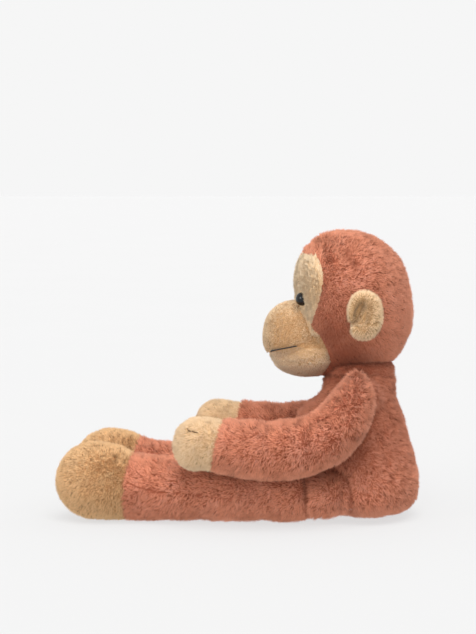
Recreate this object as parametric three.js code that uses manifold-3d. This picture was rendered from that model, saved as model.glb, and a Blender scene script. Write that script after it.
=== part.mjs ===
// A long-limbed plush monkey, sitting, as an assembly of its sewn covers,
// fillings, safety eyes and stitching.
// Millimetres, +Z up. The toy faces -Y and its left side is +X.
// The origin is on the surface it sits on, under the middle of the whole toy:
// the lengths below are from a plane through the lap, and the finished group
// is moved back by CENTRE_SHIFT.

import * as THREE from 'three';
import { mergeVertices } from 'three/addons/utils/BufferGeometryUtils.js';
import Module from 'manifold-3d';

const wasm = await Module();
wasm.setup();

// ---- driving dimensions -------------------------------------------------
const CENTRE_SHIFT = -2.2;        // Y move that puts the origin under the middle
const WALL = 2.2;                 // plush cloth with its backing and pile root
const GAP = 0.35;                 // clearance kept between separate pieces
const FILL_GAP = 2.0;             // clearance between a cover and its filling

const HEAD_C = [0, 98, 184];      // middle of the head
const HEAD_R = [55, 51, 57.5];    // half width, half depth, half height
const CROWN_HALF = 17;            // half width of the strip over the crown
const FACE_Y = 69;                // the face cloth lies in front of this plane

const MUZZLE_C = [0, 52, 151];
const MUZZLE_R = [33, 30, 33];
const MOUTH_Z = 140;              // plane between upper muzzle and jaw

const EYE_AT = [20.5, 54.2, 186]; // middle of the left eye's base
const EYE_OUT = 31;               // degrees that each eye looks outwards
const EYE_R = 5.3;                // dome radius of a 10.5 mm safety eye

const EAR_C = [60.8, 108.4, 174.5]; // middle of the left ear
const EAR_R = [5.0, 15, 21];
const EAR_HINGE = [57, 94];       // x and y of its vertical fold line

const NECK = [0, 104, 126];       // centre of the neck ball
const NECK_R = 19;

const SHOULDER = [50, 103, 112];   // left shoulder
const ELBOW = [74, 80, 77];       // left elbow
const ARM_R = 22;
const HIP = [39.5, 68.5, 26.4];      // left hip
const KNEE = [40, -12, 26.4];   // left knee
const LEG_R = 26;

const SHOULDER_SWING = [0, 70];   // degrees, arm raised from the lap
const ELBOW_SWING = [0, 32];      // degrees, forearm folded up
const HIP_SWING = [0, 80];        // degrees, leg let down
const KNEE_SWING = [0, 50];       // degrees, lower leg let down

// ---- colours --------------------------------------------------------------
const RUST = { color: 0xc4694c, roughness: 0.95, metalness: 0 };
const BEIGE = { color: 0xd8b685, roughness: 0.95, metalness: 0 };
const MUZZLE = { color: 0xd9ab78, roughness: 0.95, metalness: 0 };
const BLACK = { color: 0x0b0a0a, roughness: 0.08, metalness: 0 };
const WHITE = { color: 0xeeeae2, roughness: 0.9, metalness: 0 };
const WASHER = { color: 0xd9d9d4, roughness: 0.5, metalness: 0 };
const PELLET = { color: 0xb9b6ae, roughness: 0.9, metalness: 0 };
const THREAD = { color: 0x26332b, roughness: 0.7, metalness: 0 };
const THREAD_TAN = { color: 0xe0b487, roughness: 0.7, metalness: 0 };

// ---- solids ---------------------------------------------------------------
function solid(geometry) {
  const g = geometry.clone();
  for (const name of Object.keys(g.attributes)) {
    if (name !== 'position') g.deleteAttribute(name);
  }
  const m = mergeVertices(g, 1e-3);
  const tri = [];
  const idx = m.index.array;
  for (let i = 0; i < idx.length; i += 3) {
    const [a, b, c] = [idx[i], idx[i + 1], idx[i + 2]];
    if (a !== b && b !== c && a !== c) tri.push(a, b, c);
  }
  return new wasm.Manifold(new wasm.Mesh({
    numProp: 3,
    vertProperties: new Float32Array(m.attributes.position.array),
    triVerts: new Uint32Array(tri),
  }));
}

function geometryOf(manifold) {
  const mesh = manifold.getMesh();
  const g = new THREE.BufferGeometry();
  const pos = new Float32Array(mesh.numVert * 3);
  for (let i = 0; i < mesh.numVert; i++) {
    for (let k = 0; k < 3; k++) pos[3 * i + k] = mesh.vertProperties[mesh.numProp * i + k];
  }
  g.setAttribute('position', new THREE.BufferAttribute(pos, 3));
  g.setIndex(new THREE.BufferAttribute(new Uint32Array(mesh.triVerts), 1));
  g.computeVertexNormals();
  return g;
}

// A stuffed shape lofted through stations {c, u, v, a, b}: centre, the two
// directions of the oval section and its two half sizes. The first and last
// stations are the ends. A sphere's rings are moved onto the stations.
function pod(stations, seg = 16) {
  const rings = stations.length - 1;
  const g = new THREE.SphereGeometry(1, seg, rings);
  const p = g.attributes.position;
  for (let i = 0; i <= rings; i++) {
    const s = stations[i];
    for (let j = 0; j <= seg; j++) {
      const k = i * (seg + 1) + j;
      const phi = (2 * Math.PI * (j % seg)) / seg;
      const ca = i === 0 || i === rings ? 0 : Math.cos(phi) * s.a;
      const sb = i === 0 || i === rings ? 0 : Math.sin(phi) * s.b;
      p.setXYZ(k,
        s.c[0] + s.u[0] * ca + s.v[0] * sb,
        s.c[1] + s.u[1] * ca + s.v[1] * sb,
        s.c[2] + s.u[2] * ca + s.v[2] * sb);
    }
  }
  const m = solid(g);
  if (m.volume() > 0) return m;
  // the sections ran the other way round: turn the faces over
  const idx = g.index.array;
  for (let i = 0; i < idx.length; i += 3) [idx[i], idx[i + 1]] = [idx[i + 1], idx[i]];
  return solid(g);
}

function ellipsoid(c, r, seg = 18, rings = 10) {
  const g = new THREE.SphereGeometry(1, seg, rings);
  g.rotateX(Math.PI / 2);
  g.scale(r[0], r[1], r[2]);
  g.translate(c[0], c[1], c[2]);
  return solid(g);
}

function block(lo, hi) {
  const g = new THREE.BoxGeometry(hi[0] - lo[0], hi[1] - lo[1], hi[2] - lo[2]);
  g.translate((lo[0] + hi[0]) / 2, (lo[1] + hi[1]) / 2, (lo[2] + hi[2]) / 2);
  return solid(g);
}

// A limb segment: sections square to a path of points, with its radii.
// ball > 0 rounds the first end as a sphere about the first point.
function limb(path, { ball = 0, cap = 0, seg = 12, inset = 0 } = {}) {
  const pts = path.map((q) => new THREE.Vector3(q[0], q[1], q[2]));
  const n = pts.length;
  const dir = pts.map((_, i) => {
    const a = pts[Math.max(0, i - 1)], b = pts[Math.min(n - 1, i + 1)];
    return b.clone().sub(a).normalize();
  });
  const X = new THREE.Vector3(1, 0, 0);
  const frame = (d) => {
    const v = new THREE.Vector3().crossVectors(d, X).normalize();
    const u = new THREE.Vector3().crossVectors(v, d).normalize();
    return { u: u.toArray(), v: v.toArray() };
  };
  const st = [];
  const r0 = path[0][3] - inset;
  if (ball) {
    const f = frame(dir[0]);
    for (const t of [90, 58, 28]) {
      const a = (t * Math.PI) / 180;
      st.push({ c: pts[0].clone().addScaledVector(dir[0], -r0 * Math.sin(a)).toArray(),
        ...f, a: r0 * Math.cos(a), b: r0 * Math.cos(a) });
    }
  } else {
    st.push({ c: pts[0].toArray(), ...frame(dir[0]), a: 0, b: 0 });
  }
  path.forEach((q, i) => {
    st.push({ c: pts[i].toArray(), ...frame(dir[i]), a: q[3] - inset, b: (q[4] ?? q[3]) - inset });
  });
  const rn = path[n - 1][3] - inset;
  if (cap) {
    const f = frame(dir[n - 1]);
    for (const t of [32, 60, 90]) {
      const a = (t * Math.PI) / 180;
      st.push({ c: pts[n - 1].clone().addScaledVector(dir[n - 1], cap * rn * Math.sin(a)).toArray(),
        ...f, a: rn * Math.cos(a), b: rn * Math.cos(a) });
    }
  } else {
    st.push({ c: pts[n - 1].toArray(), ...frame(dir[n - 1]), a: 0, b: 0 });
  }
  return pod(st, seg);
}

// The room that a limb of radius r takes as it turns about pivot, in the YZ
// plane, from direction a0 to direction a1 (degrees, 0 along -Y, 90 along
// +Z), as one prism right across in X.
function swing(pivot, r, a0, a1, x0, x1, reach = 200) {
  const pts = [];
  const dir = (deg) => [-Math.cos((deg * Math.PI) / 180), Math.sin((deg * Math.PI) / 180)];
  const add = (deg, rad) => { const d = dir(deg); pts.push([d[0] * rad, d[1] * rad]); };
  // far edge beyond the sector, then the ball's far side
  const lo = dir(a0), hi = dir(a1);
  const nlo = dir(a0 - 90), nhi = dir(a1 + 90);
  pts.push([nlo[0] * r + lo[0] * reach, nlo[1] * r + lo[1] * reach]);
  pts.push([nlo[0] * r, nlo[1] * r]);
  const from = a0 - 90, to = a1 + 90 - 360;
  const steps = 9;
  const out = r / Math.cos(((to - from) * Math.PI) / 360 / steps); // just outside the ball
  for (let i = 1; i < steps; i++) add(from + ((to - from) * i) / steps, out);
  pts.push([nhi[0] * r, nhi[1] * r]);
  pts.push([nhi[0] * r + hi[0] * reach, nhi[1] * r + hi[1] * reach]);
  if (a1 - a0 > 20) {
    const mid = dir((a0 + a1) / 2);
    pts.push([mid[0] * reach * 1.8, mid[1] * reach * 1.8]);
  }
  const shape = new THREE.Shape(pts.map((q) => new THREE.Vector2(q[0], q[1])));
  const g = new THREE.ExtrudeGeometry(shape, { depth: x1 - x0, bevelEnabled: false, steps: 1 });
  // shape (y, z) with depth along x
  g.applyMatrix4(new THREE.Matrix4().set(
    0, 0, 1, x0,
    1, 0, 0, pivot[1],
    0, 1, 0, pivot[2],
    0, 0, 0, 1));
  return solid(g);
}

const parts = [];
function put(name, manifold, look, side = 1) {
  const g = geometryOf(manifold);
  if (side < 0) {
    g.scale(-1, 1, 1);
    const idx = g.index.array;
    for (let i = 0; i < idx.length; i += 3) [idx[i], idx[i + 1]] = [idx[i + 1], idx[i]];
    g.computeVertexNormals();
  }
  parts.push({ name, g, look });
}

const BIG = 400;

// ---- torso ------------------------------------------------------------------
// Pear-shaped body: half width, front and back at each height.
const TORSO = [
  // z, half width, front y, back y
  [-6, 44, 79, 132],
  [6, 52, 68, 145],
  [20, 55, 63, 152],
  [36, 54, 60, 152.4],
  [54, 49, 60, 148.5],
  [74, 42, 62, 141.5],
  [92, 36, 66, 137.5],
  [107, 31, 73, 134],
  [114, 28, 77, 132],
];
function torsoPod(inset, top, seg) {
  const st = [];
  const row = (z, w, f, b) => ({ c: [0, (f + b) / 2, z], u: [1, 0, 0], v: [0, 1, 0],
    a: w - inset, b: (b - f) / 2 - inset });
  const first = TORSO[0], last = TORSO[TORSO.length - 1];
  st.push({ ...row(first[0] - 3, 1, first[2], first[3]), a: 0, b: 0 });
  for (const q of TORSO) st.push(row(q[0], q[1], q[2], q[3]));
  st.push({ ...row(top, 1, last[2] + 4, last[3]), a: 0, b: 0 });
  return pod(st, seg);
}
const hipRoom = (extra) => {
  const r = LEG_R + GAP + extra;
  const one = (sx) => swing(HIP, r, -HIP_SWING[1], 0,
    sx > 0 ? HIP[0] - LEG_R - 0.6 - extra : -BIG, sx > 0 ? BIG : -(HIP[0] - LEG_R - 0.6 - extra));
  return one(1).add(one(-1));
};
const armRoom = (extra) => {
  const c = SHOULDER, r = [19.5 + GAP + extra, 19.5 + GAP + extra, 19.5 + GAP + extra];
  return ellipsoid(c, r, 12, 8).add(ellipsoid([-c[0], c[1], c[2]], r, 12, 8));
};
const floorCut = (z) => block([-BIG, -BIG, z], [BIG, BIG, BIG]);
const neckHole = (r) => {
  const g = new THREE.CylinderGeometry(r, r, 60, 20);
  g.rotateX(Math.PI / 2);
  g.translate(NECK[0], NECK[1], 130);
  return solid(g);
};
{
  const outer = torsoPod(0, 119, 22).intersect(floorCut(0));
  const inner = torsoPod(WALL + 0.4, 117, 14).intersect(floorCut(WALL));
  const shell = outer.subtract(inner).subtract(hipRoom(0)).subtract(armRoom(0)).subtract(neckHole(14));
  put('torso_cover_left', shell.intersect(block([GAP / 2, -BIG, -BIG], [BIG, BIG, BIG])), RUST);
  put('torso_cover_right', shell.intersect(block([-BIG, -BIG, -BIG], [-GAP / 2, BIG, BIG])), RUST);

  const room = torsoPod(WALL + 0.4 + FILL_GAP, 116.2, 14).intersect(floorCut(12))
    .subtract(hipRoom(0.5)).subtract(armRoom(0.5));
  const pouch = ellipsoid([0, 122, 23], [40, 23, 12.5], 16, 8);
  // the pouch is laid in from below, so its bed in the filling is open downwards
  const well = new THREE.CylinderGeometry(1, 1, 40, 16);
  well.rotateX(Math.PI / 2);
  well.scale(40.7, 23.7, 1);
  well.translate(0, 122, 3);
  const pouchRoom = ellipsoid([0, 122, 23], [40.7, 23.7, 13.2], 16, 8).add(solid(well));
  put('torso_stuffing', room.subtract(pouchRoom).subtract(neckHole(14)), WHITE);
  put('seat_pellet_pouch', pouch, PELLET);
}

// ---- neck -------------------------------------------------------------------
// The stuffed neck: a drum standing on the torso's neck opening, with a ball
// top that the head sits on.
{
  const profile = [];
  const z0 = 119.6 - NECK[2];
  profile.push(new THREE.Vector2(0, z0 - 18));
  profile.push(new THREE.Vector2(12.8, z0 - 18));
  profile.push(new THREE.Vector2(12.8, z0 + 0.1));
  profile.push(new THREE.Vector2(16.5, z0 + 0.1));
  profile.push(new THREE.Vector2(18.4, -1));
  for (const t of [12, 32, 52, 72]) {
    const a = (t * Math.PI) / 180;
    profile.push(new THREE.Vector2(NECK_R * Math.cos(a), NECK_R * Math.sin(a)));
  }
  profile.push(new THREE.Vector2(0, NECK_R));
  const g = new THREE.LatheGeometry(profile, 16);
  g.rotateX(Math.PI / 2);
  g.translate(NECK[0], NECK[1], NECK[2]);
  put('neck_stuffing', solid(g), RUST);
}

// ---- head -------------------------------------------------------------------
const headPod = (inset, seg = 22, rings = 12) =>
  ellipsoid(HEAD_C, HEAD_R.map((r) => r - inset), seg, rings);
const muzzlePod = (inset, seg = 18, rings = 10) =>
  ellipsoid(MUZZLE_C, MUZZLE_R.map((r) => r - inset), seg, rings);
const neckRoom = (extra) => {
  const g = new THREE.CylinderGeometry(NECK_R + 1.6 + extra, NECK_R + 7 + extra, 24, 20);
  g.rotateX(Math.PI / 2);
  g.translate(NECK[0], NECK[1], NECK[2] - 12);
  return ellipsoid(NECK, [NECK_R + GAP + 0.3 + extra, NECK_R + GAP + 0.3 + extra, NECK_R + GAP + 0.3 + extra], 20, 12)
    .add(solid(g));
};

// eyes: the direction each eye faces, and where it meets the face cloth
function eyeFrame(side) {
  const a = (EYE_OUT * Math.PI) / 180;
  return {
    at: new THREE.Vector3(EYE_AT[0] * side, EYE_AT[1], EYE_AT[2]),
    n: new THREE.Vector3(Math.sin(a) * side, -Math.cos(a), 0.06).normalize(),
  };
}
function along(geometry, at, n) { // +Y of the geometry turned onto n
  const q = new THREE.Quaternion().setFromUnitVectors(new THREE.Vector3(0, 1, 0), n);
  geometry.applyQuaternion(q);
  geometry.translate(at.x, at.y, at.z);
  return geometry;
}
const lathe = (rows, seg) => new THREE.LatheGeometry(rows.map((r) => new THREE.Vector2(r[0], r[1])), seg);
const eyeSolid = (side) => {
  const f = eyeFrame(side);
  const rows = [[0, -10], [1.3, -10], [1.3, 0.75], [EYE_R, 0.75]];
  for (const t of [18, 42, 66]) {
    const a = (t * Math.PI) / 180;
    rows.push([EYE_R * Math.cos(a), 0.75 + 3.6 * Math.sin(a)]);
  }
  rows.push([0, 4.35]);
  return solid(along(lathe(rows, 12), f.at, f.n));
};
const washerSolid = (side, grow = 0) => {
  const f = eyeFrame(side);
  const rows = grow
    ? [[0, -7 - grow], [6 + grow, -7 - grow], [6 + grow, -WALL], [0, -WALL]]
    : [[1.3 + GAP, -6.6], [6, -6.6], [6, -5.2], [1.3 + GAP, -5.2], [1.3 + GAP, -6.6]];
  return solid(along(lathe(rows, 10), f.at, f.n));
};
const stemRoom = (side, r) => {
  const f = eyeFrame(side);
  const g = new THREE.CylinderGeometry(r, r, 24, 10);
  return solid(along(g, f.at, f.n));
};
// the dimple that each eye is pulled down into
const eyeDimple = (side, grow) => {
  const f = eyeFrame(side);
  const r = EYE_R + 0.45 + grow;
  return solid(along(lathe([[0, 0.3 - grow], [r, 0.3 - grow], [r + 2, 14], [0, 14]], 14), f.at, f.n));
};

{
  const shell = headPod(0).subtract(headPod(WALL, 14, 8)).subtract(neckRoom(0.4));
  const back = block([-BIG, FACE_Y + GAP, -BIG], [BIG, BIG, BIG]);
  const front = block([-BIG, -BIG, -BIG], [BIG, FACE_Y, BIG]);
  const rust = shell.intersect(back).subtract(muzzlePod(-GAP));
  put('head_cover_left', rust.intersect(block([CROWN_HALF + GAP, -BIG, -BIG], [BIG, BIG, BIG])), RUST);
  put('head_cover_right', rust.intersect(block([-BIG, -BIG, -BIG], [-CROWN_HALF - GAP, BIG, BIG])), RUST);
  put('head_crown_strip', rust.intersect(block([-CROWN_HALF, -BIG, 150], [CROWN_HALF, BIG, BIG])), RUST);

  const face = shell.intersect(front).intersect(block([-BIG, -BIG, 150], [BIG, BIG, BIG]))
    .subtract(muzzlePod(-GAP)).subtract(stemRoom(1, 1.3 + GAP)).subtract(stemRoom(-1, 1.3 + GAP))
    .subtract(eyeDimple(1, 0)).subtract(eyeDimple(-1, 0));
  put('face_cover', face, BEIGE);

  const stuff = headPod(WALL + FILL_GAP, 14, 8).subtract(neckRoom(0.9)).subtract(muzzlePod(-0.7))
    .subtract(washerSolid(1, 0.4)).subtract(washerSolid(-1, 0.4))
    .subtract(stemRoom(1, 1.9)).subtract(stemRoom(-1, 1.9))
    .subtract(eyeDimple(1, 0.4)).subtract(eyeDimple(-1, 0.4));
  put('head_stuffing', stuff, WHITE);

  const mShell = muzzlePod(0).subtract(muzzlePod(WALL, 12, 8)).intersect(block([-BIG, -BIG, -BIG], [BIG, 71.5, BIG]));
  put('muzzle_cover_upper', mShell.intersect(block([-BIG, -BIG, MOUTH_Z + GAP / 2], [BIG, BIG, BIG])), MUZZLE);
  put('muzzle_cover_jaw', mShell.intersect(block([-BIG, -BIG, -BIG], [BIG, BIG, MOUTH_Z - GAP / 2])), MUZZLE);
  put('muzzle_stuffing', muzzlePod(WALL + FILL_GAP, 12, 8)
    .intersect(block([-BIG, -BIG, -BIG], [BIG, 71, BIG])), WHITE);

  for (const side of [1, -1]) {
    put(side > 0 ? 'eye_left' : 'eye_right', eyeSolid(side), BLACK);
    put(side > 0 ? 'eye_washer_left' : 'eye_washer_right', washerSolid(side), WASHER);
  }

  // mouth: one run of embroidery thread lying on the muzzle
  const ring = [];
  for (let i = -8; i <= 8; i++) {
    const a = (i / 8) * 0.92;
    const z = 138.4 + 6.2 * (1 - Math.cos(a * 1.35));
    const k = Math.sqrt(Math.max(0, 1 - ((z - MUZZLE_C[2]) / MUZZLE_R[2]) ** 2));
    const grow = 1.35;
    ring.push(new THREE.Vector3((MUZZLE_R[0] + grow) * k * Math.sin(a),
      MUZZLE_C[1] - (MUZZLE_R[1] + grow) * k * Math.cos(a), z));
  }
  const sect = new THREE.Shape();
  sect.absarc(0, 0, 0.6, 0, Math.PI * 2, false);
  const thread = (pts, steps) => solid(new THREE.ExtrudeGeometry(sect, {
    steps, curveSegments: 3, bevelEnabled: false, extrudePath: new THREE.CatmullRomCurve3(pts) }));
  put('mouth_stitch', thread(ring, 12), THREAD);
  for (const side of [1, -1]) {
    const pts = [];
    for (let i = 0; i <= 3; i++) {
      const x = side * (7 + 2.2 * i), z = 174 + 1.1 * i;
      const k = 1 - (x / MUZZLE_R[0]) ** 2 - ((z - MUZZLE_C[2]) / MUZZLE_R[2]) ** 2;
      const y = MUZZLE_C[1] - MUZZLE_R[1] * Math.sqrt(k);
      const n = new THREE.Vector3(x / MUZZLE_R[0] ** 2, (y - MUZZLE_C[1]) / MUZZLE_R[1] ** 2,
        (z - MUZZLE_C[2]) / MUZZLE_R[2] ** 2).normalize();
      pts.push(new THREE.Vector3(x, y, z).addScaledVector(n, 1.25));
    }
    put(side > 0 ? 'nostril_stitch_left' : 'nostril_stitch_right', thread(pts, 2), THREAD_TAN);
  }
}

// ---- ears -------------------------------------------------------------------
// Each ear is a cupped back cloth with a thick rim and a smaller front cloth
// set into the cup.
{
  const cup = ellipsoid(EAR_C, EAR_R, 14, 8)
    .subtract(ellipsoid([EAR_C[0] + 4.6, EAR_C[1] - 1.5, EAR_C[2]], [5.4, 9.5, 14.5], 10, 6));
  const lining = ellipsoid([EAR_C[0] + 2.6, EAR_C[1] - 1.5, EAR_C[2]], [2.4, 7.4, 11.6], 10, 6);
  const rim = cup.intersect(block([56, -BIG, -BIG], [BIG, BIG, BIG]));
  for (const side of [1, -1]) {
    const tag = side > 0 ? 'left' : 'right';
    put(`ear_back_${tag}`, rim, BEIGE, side);
    put(`ear_front_${tag}`, lining, BEIGE, side);
  }
}

// ---- arms -------------------------------------------------------------------
const WRIST = [78, -10.5, 69];
const ELBOW_REST = 12;            // the forearm leaves the elbow this far below level
function arm(side) {
  const tag = side > 0 ? 'left' : 'right';
  const mid = (a, b, t) => a.map((q, i) => q + (b[i] - q) * t);
  const upperPath = (grow) => [
    [...SHOULDER, 19.3], [...mid(SHOULDER, ELBOW, 0.35), 20.6], [...mid(SHOULDER, ELBOW, 0.7), 21.8],
    [...mid(SHOULDER, ELBOW, 1.0), 22]];
  const room = (g) => swing(ELBOW, ARM_R + g, -ELBOW_REST - 1, ELBOW_SWING[1] - ELBOW_REST + 6, -10, 140);
  const outer = limb(upperPath(), { ball: 1, cap: 0.2 });
  const inner = limb(upperPath(), { ball: 1, cap: 0.2, inset: WALL, seg: 8 });
  const fill = limb(upperPath(), { ball: 1, cap: 0.2, inset: WALL + FILL_GAP, seg: 8 });
  put(`upper_arm_cover_${tag}`, outer.subtract(inner).subtract(room(GAP + 0.3)), RUST, side);
  put(`upper_arm_stuffing_${tag}`, fill.subtract(room(GAP + 1.2)), WHITE, side);

  const lower = [
    [...ELBOW, ARM_R], [77, 64, 70.5, 22.4], [79.5, 48, 67.5, 22.8], [80, 32, 66, 22.6], [80, 14, 67.4, 22.6],
    [78.8, -2, 68.6, 21.6], [...WRIST, 21.2], [78, -20, 70, 21.2]];
  const wristCut = (y0, y1) => block([-BIG, y0, -BIG], [BIG, y1, BIG]);
  const fo = limb(lower, { ball: 1, cap: 0.3 });
  const fi = limb(lower, { ball: 1, cap: 0.3, inset: WALL, seg: 8 });
  const ff = limb(lower, { ball: 1, cap: 0.3, inset: WALL + FILL_GAP, seg: 8 });
  put(`forearm_cover_${tag}`, fo.subtract(fi).intersect(wristCut(WRIST[1] + GAP, BIG)), RUST, side);
  put(`forearm_stuffing_${tag}`, ff.intersect(wristCut(WRIST[1] + 1.2, BIG)), WHITE, side);

  const palm = [[78, -4, 68.4, 20.8], [78, -12, 69.4, 21.4, 22.0], [78, -21, 71, 21.8, 22.6], [78, -31, 70.6, 20, 20.6]];
  const hand = (inset, seg) => limb(palm, { cap: 0.72, inset, seg });
  put(`hand_cover_${tag}`, hand(0, 14).subtract(hand(WALL, 10)).intersect(wristCut(-BIG, WRIST[1])), BEIGE, side);
  put(`hand_stuffing_${tag}`, hand(WALL + FILL_GAP, 10).intersect(wristCut(-BIG, WRIST[1] - 0.6)), WHITE, side);
}
arm(1);
arm(-1);

// ---- legs -------------------------------------------------------------------
function leg(side) {
  const tag = side > 0 ? 'left' : 'right';
  const cutY = (y0, y1) => block([-BIG, y0, -BIG], [BIG, y1, BIG]);
  const thigh = [
    [...HIP, LEG_R], [39.6, 48, 26.3, 26], [39.7, 26, 26.2, 26], [39.8, 6, 26.3, 26], [...KNEE, 26], [40, -20, 26.4, 26]];
  const room = (g) => swing(KNEE, LEG_R + g, -KNEE_SWING[1] - 4, 0.5, -BIG, BIG);
  const to = limb(thigh, { ball: 1, cap: 0.2 });
  const ti = limb(thigh, { ball: 1, cap: 0.2, inset: WALL, seg: 8 });
  const tf = limb(thigh, { ball: 1, cap: 0.2, inset: WALL + FILL_GAP, seg: 8 });
  put(`thigh_cover_${tag}`, to.subtract(ti).subtract(room(GAP + 0.3)), RUST, side);
  put(`thigh_stuffing_${tag}`, tf.subtract(room(GAP + 1.2)), WHITE, side);

  const ANKLE = -92;
  const shin = [
    [...KNEE, LEG_R], [40, -34, 26.4, 26], [40.2, -58, 26.8, 26.2], [40.4, -78, 27.8, 27], [40.5, ANKLE, 28.6, 27.4], [40.5, -104, 29.5, 27.4]];
  const so = limb(shin, { ball: 1, cap: 0.2 });
  const si = limb(shin, { ball: 1, cap: 0.2, inset: WALL, seg: 8 });
  const sf = limb(shin, { ball: 1, cap: 0.2, inset: WALL + FILL_GAP, seg: 8 });
  put(`shin_cover_${tag}`, so.subtract(si).intersect(cutY(ANKLE + GAP, BIG)), RUST, side);
  put(`shin_stuffing_${tag}`, sf.intersect(cutY(ANKLE + 1.2, BIG)), WHITE, side);

  const sole = [[40.5, -84, 28.0, 27.0], [40.5, -92, 28.8, 27.4, 27.6], [40.6, -102, 31.4, 30, 31], [40.8, -114, 32.8, 31, 32.7], [40.8, -127, 32.2, 28.8, 30.4]];
  const foot = (inset, seg) => limb(sole, { cap: 0.72, inset, seg });
  put(`foot_cover_${tag}`, foot(0, 16).subtract(foot(WALL, 10)).intersect(cutY(-BIG, ANKLE)), BEIGE, side);
  put(`foot_pellet_pouch_${tag}`, foot(WALL + FILL_GAP, 10).intersect(cutY(-BIG, ANKLE - 0.8)), PELLET, side);
}
leg(1);
leg(-1);

// ---- scene graph ------------------------------------------------------------
const monkey = new THREE.Group();
monkey.position.y = CENTRE_SHIFT;
for (const { name, g, look } of parts) {
  const mesh = new THREE.Mesh(g, new THREE.MeshStandardMaterial(look));
  mesh.name = name;
  monkey.add(mesh);
}

export default monkey;
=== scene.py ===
"""Looks for a sitting plush monkey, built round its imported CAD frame.

Every shape here is worked out in millimetres from the plane through the lap, and is put into
the frame's metres by place(): the frame's origin is 2.2 mm behind that plane.
A cover is the zero surface of a distance field, meshed on a grid, with its pile as tapered
tufts of real geometry rooted on it. One field makes a whole limb, so the covers of a limb
meet edge to edge at their seams.
"""

import math

import bpy
import numpy as np
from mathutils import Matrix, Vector


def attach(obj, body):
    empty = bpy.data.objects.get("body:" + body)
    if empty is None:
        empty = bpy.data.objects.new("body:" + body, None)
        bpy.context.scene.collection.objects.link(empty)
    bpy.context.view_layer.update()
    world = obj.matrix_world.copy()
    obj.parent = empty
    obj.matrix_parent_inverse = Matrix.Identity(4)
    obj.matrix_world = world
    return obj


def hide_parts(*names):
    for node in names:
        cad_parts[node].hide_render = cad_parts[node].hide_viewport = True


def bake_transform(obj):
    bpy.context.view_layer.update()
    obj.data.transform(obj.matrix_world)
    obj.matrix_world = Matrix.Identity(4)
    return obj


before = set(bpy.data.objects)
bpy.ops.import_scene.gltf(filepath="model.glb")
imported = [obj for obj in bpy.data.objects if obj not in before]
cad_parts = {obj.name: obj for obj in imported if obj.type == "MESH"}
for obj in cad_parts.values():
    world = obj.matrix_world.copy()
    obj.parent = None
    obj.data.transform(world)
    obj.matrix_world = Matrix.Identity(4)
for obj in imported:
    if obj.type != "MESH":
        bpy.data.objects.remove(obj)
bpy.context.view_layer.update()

SHIFT = -2.2            # mm, Y of the lap plane in the frame
PILE = 3.4              # mm from the cover's cloth to the tips of its pile
GRID = 1.7              # mm, spacing of the cover meshes
rng = np.random.default_rng(20240611)


# ---------------------------------------------------------------- numbers
def place(points):
    out = np.array(points, float).reshape(-1, 3) * 0.001
    out[:, 1] += SHIFT * 0.001
    return out


def unit(v):
    return v / np.maximum(np.linalg.norm(v, axis=-1, keepdims=True), 1e-9)


LATTICE = np.random.default_rng(7).standard_normal((32, 32, 32, 3)).astype(np.float32)


def noise(points, scale, seed=0.0):
    """Smooth vector noise with unit spread; scale is its grain in mm."""
    q = np.asarray(points, float) / scale + np.array([13.7, 5.1, 29.3]) * (seed + 1.0)
    i = np.floor(q).astype(int)
    t = q - i
    t = t * t * (3 - 2 * t)
    out = np.zeros((len(q), 3))
    for dx in (0, 1):
        for dy in (0, 1):
            for dz in (0, 1):
                w = (
                    (t[:, 0] if dx else 1 - t[:, 0])
                    * (t[:, 1] if dy else 1 - t[:, 1])
                    * (t[:, 2] if dz else 1 - t[:, 2])
                )
                out += w[:, None] * LATTICE[
                    (i[:, 0] + dx) % 32, (i[:, 1] + dy) % 32, (i[:, 2] + dz) % 32
                ]
    return out * 1.6


def smin(a, b, k):
    h = np.clip(0.5 + 0.5 * (b - a) / k, 0, 1)
    return b * (1 - h) + a * h - k * h * (1 - h)


def smax(a, b, k):
    return -smin(-a, -b, k)


def curve(points, step=4.0):
    """A smooth run of stations through the given ones, every column interpolated."""
    p = np.array(points, float)
    p = np.vstack([2 * p[0] - p[1], p, 2 * p[-1] - p[-2]])
    out = []
    for i in range(1, len(p) - 2):
        n = max(1, int(round(np.linalg.norm(p[i + 1, :3] - p[i, :3]) / step)))
        for j in range(n):
            t = j / n
            out.append(
                0.5
                * (
                    2 * p[i]
                    + (p[i + 1] - p[i - 1]) * t
                    + (2 * p[i - 1] - 5 * p[i] + 4 * p[i + 1] - p[i + 2]) * t**2
                    + (3 * p[i] - p[i - 1] - 3 * p[i + 1] + p[i + 2]) * t**3
                )
            )
    out.append(p[-2])
    return np.array(out)


def chain(P, path, narrow=1.0):
    """Distance to a limb through stations (x, y, z, radius); narrow scales its width in X."""
    best = np.full(len(P), 1e9)
    for a, b in zip(path[:-1], path[1:]):
        ab = b[:3] - a[:3]
        t = np.clip(((P - a[:3]) @ ab) / (ab @ ab), 0, 1)
        d = P - (a[:3] + t[:, None] * ab)
        d[:, 0] /= narrow
        best = np.minimum(best, np.linalg.norm(d, axis=1) - (a[3] + (b[3] - a[3]) * t))
    return best


def blob(P, centre, radii, power=2.0):
    q = np.abs((P - np.array(centre)) / np.array(radii))
    f = (q**power).sum(1) ** (1 / power)
    return (f - 1) * min(radii)


def near_line(points2, line):
    """Distance in a plane to a polyline, and how far along it the nearest point is."""
    line = np.array(line, float)
    best = np.full(len(points2), 1e9)
    along = np.zeros(len(points2))
    run = 0.0
    total = np.linalg.norm(np.diff(line, axis=0), axis=1).sum()
    for a, b in zip(line[:-1], line[1:]):
        ab = b - a
        size = np.linalg.norm(ab)
        t = np.clip(((points2 - a) @ ab) / (ab @ ab), 0, 1)
        d = np.linalg.norm(points2 - (a + t[:, None] * ab), axis=1)
        along = np.where(d < best, (run + t * size) / total, along)
        best = np.minimum(best, d)
        run += size
    return best, along


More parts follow.
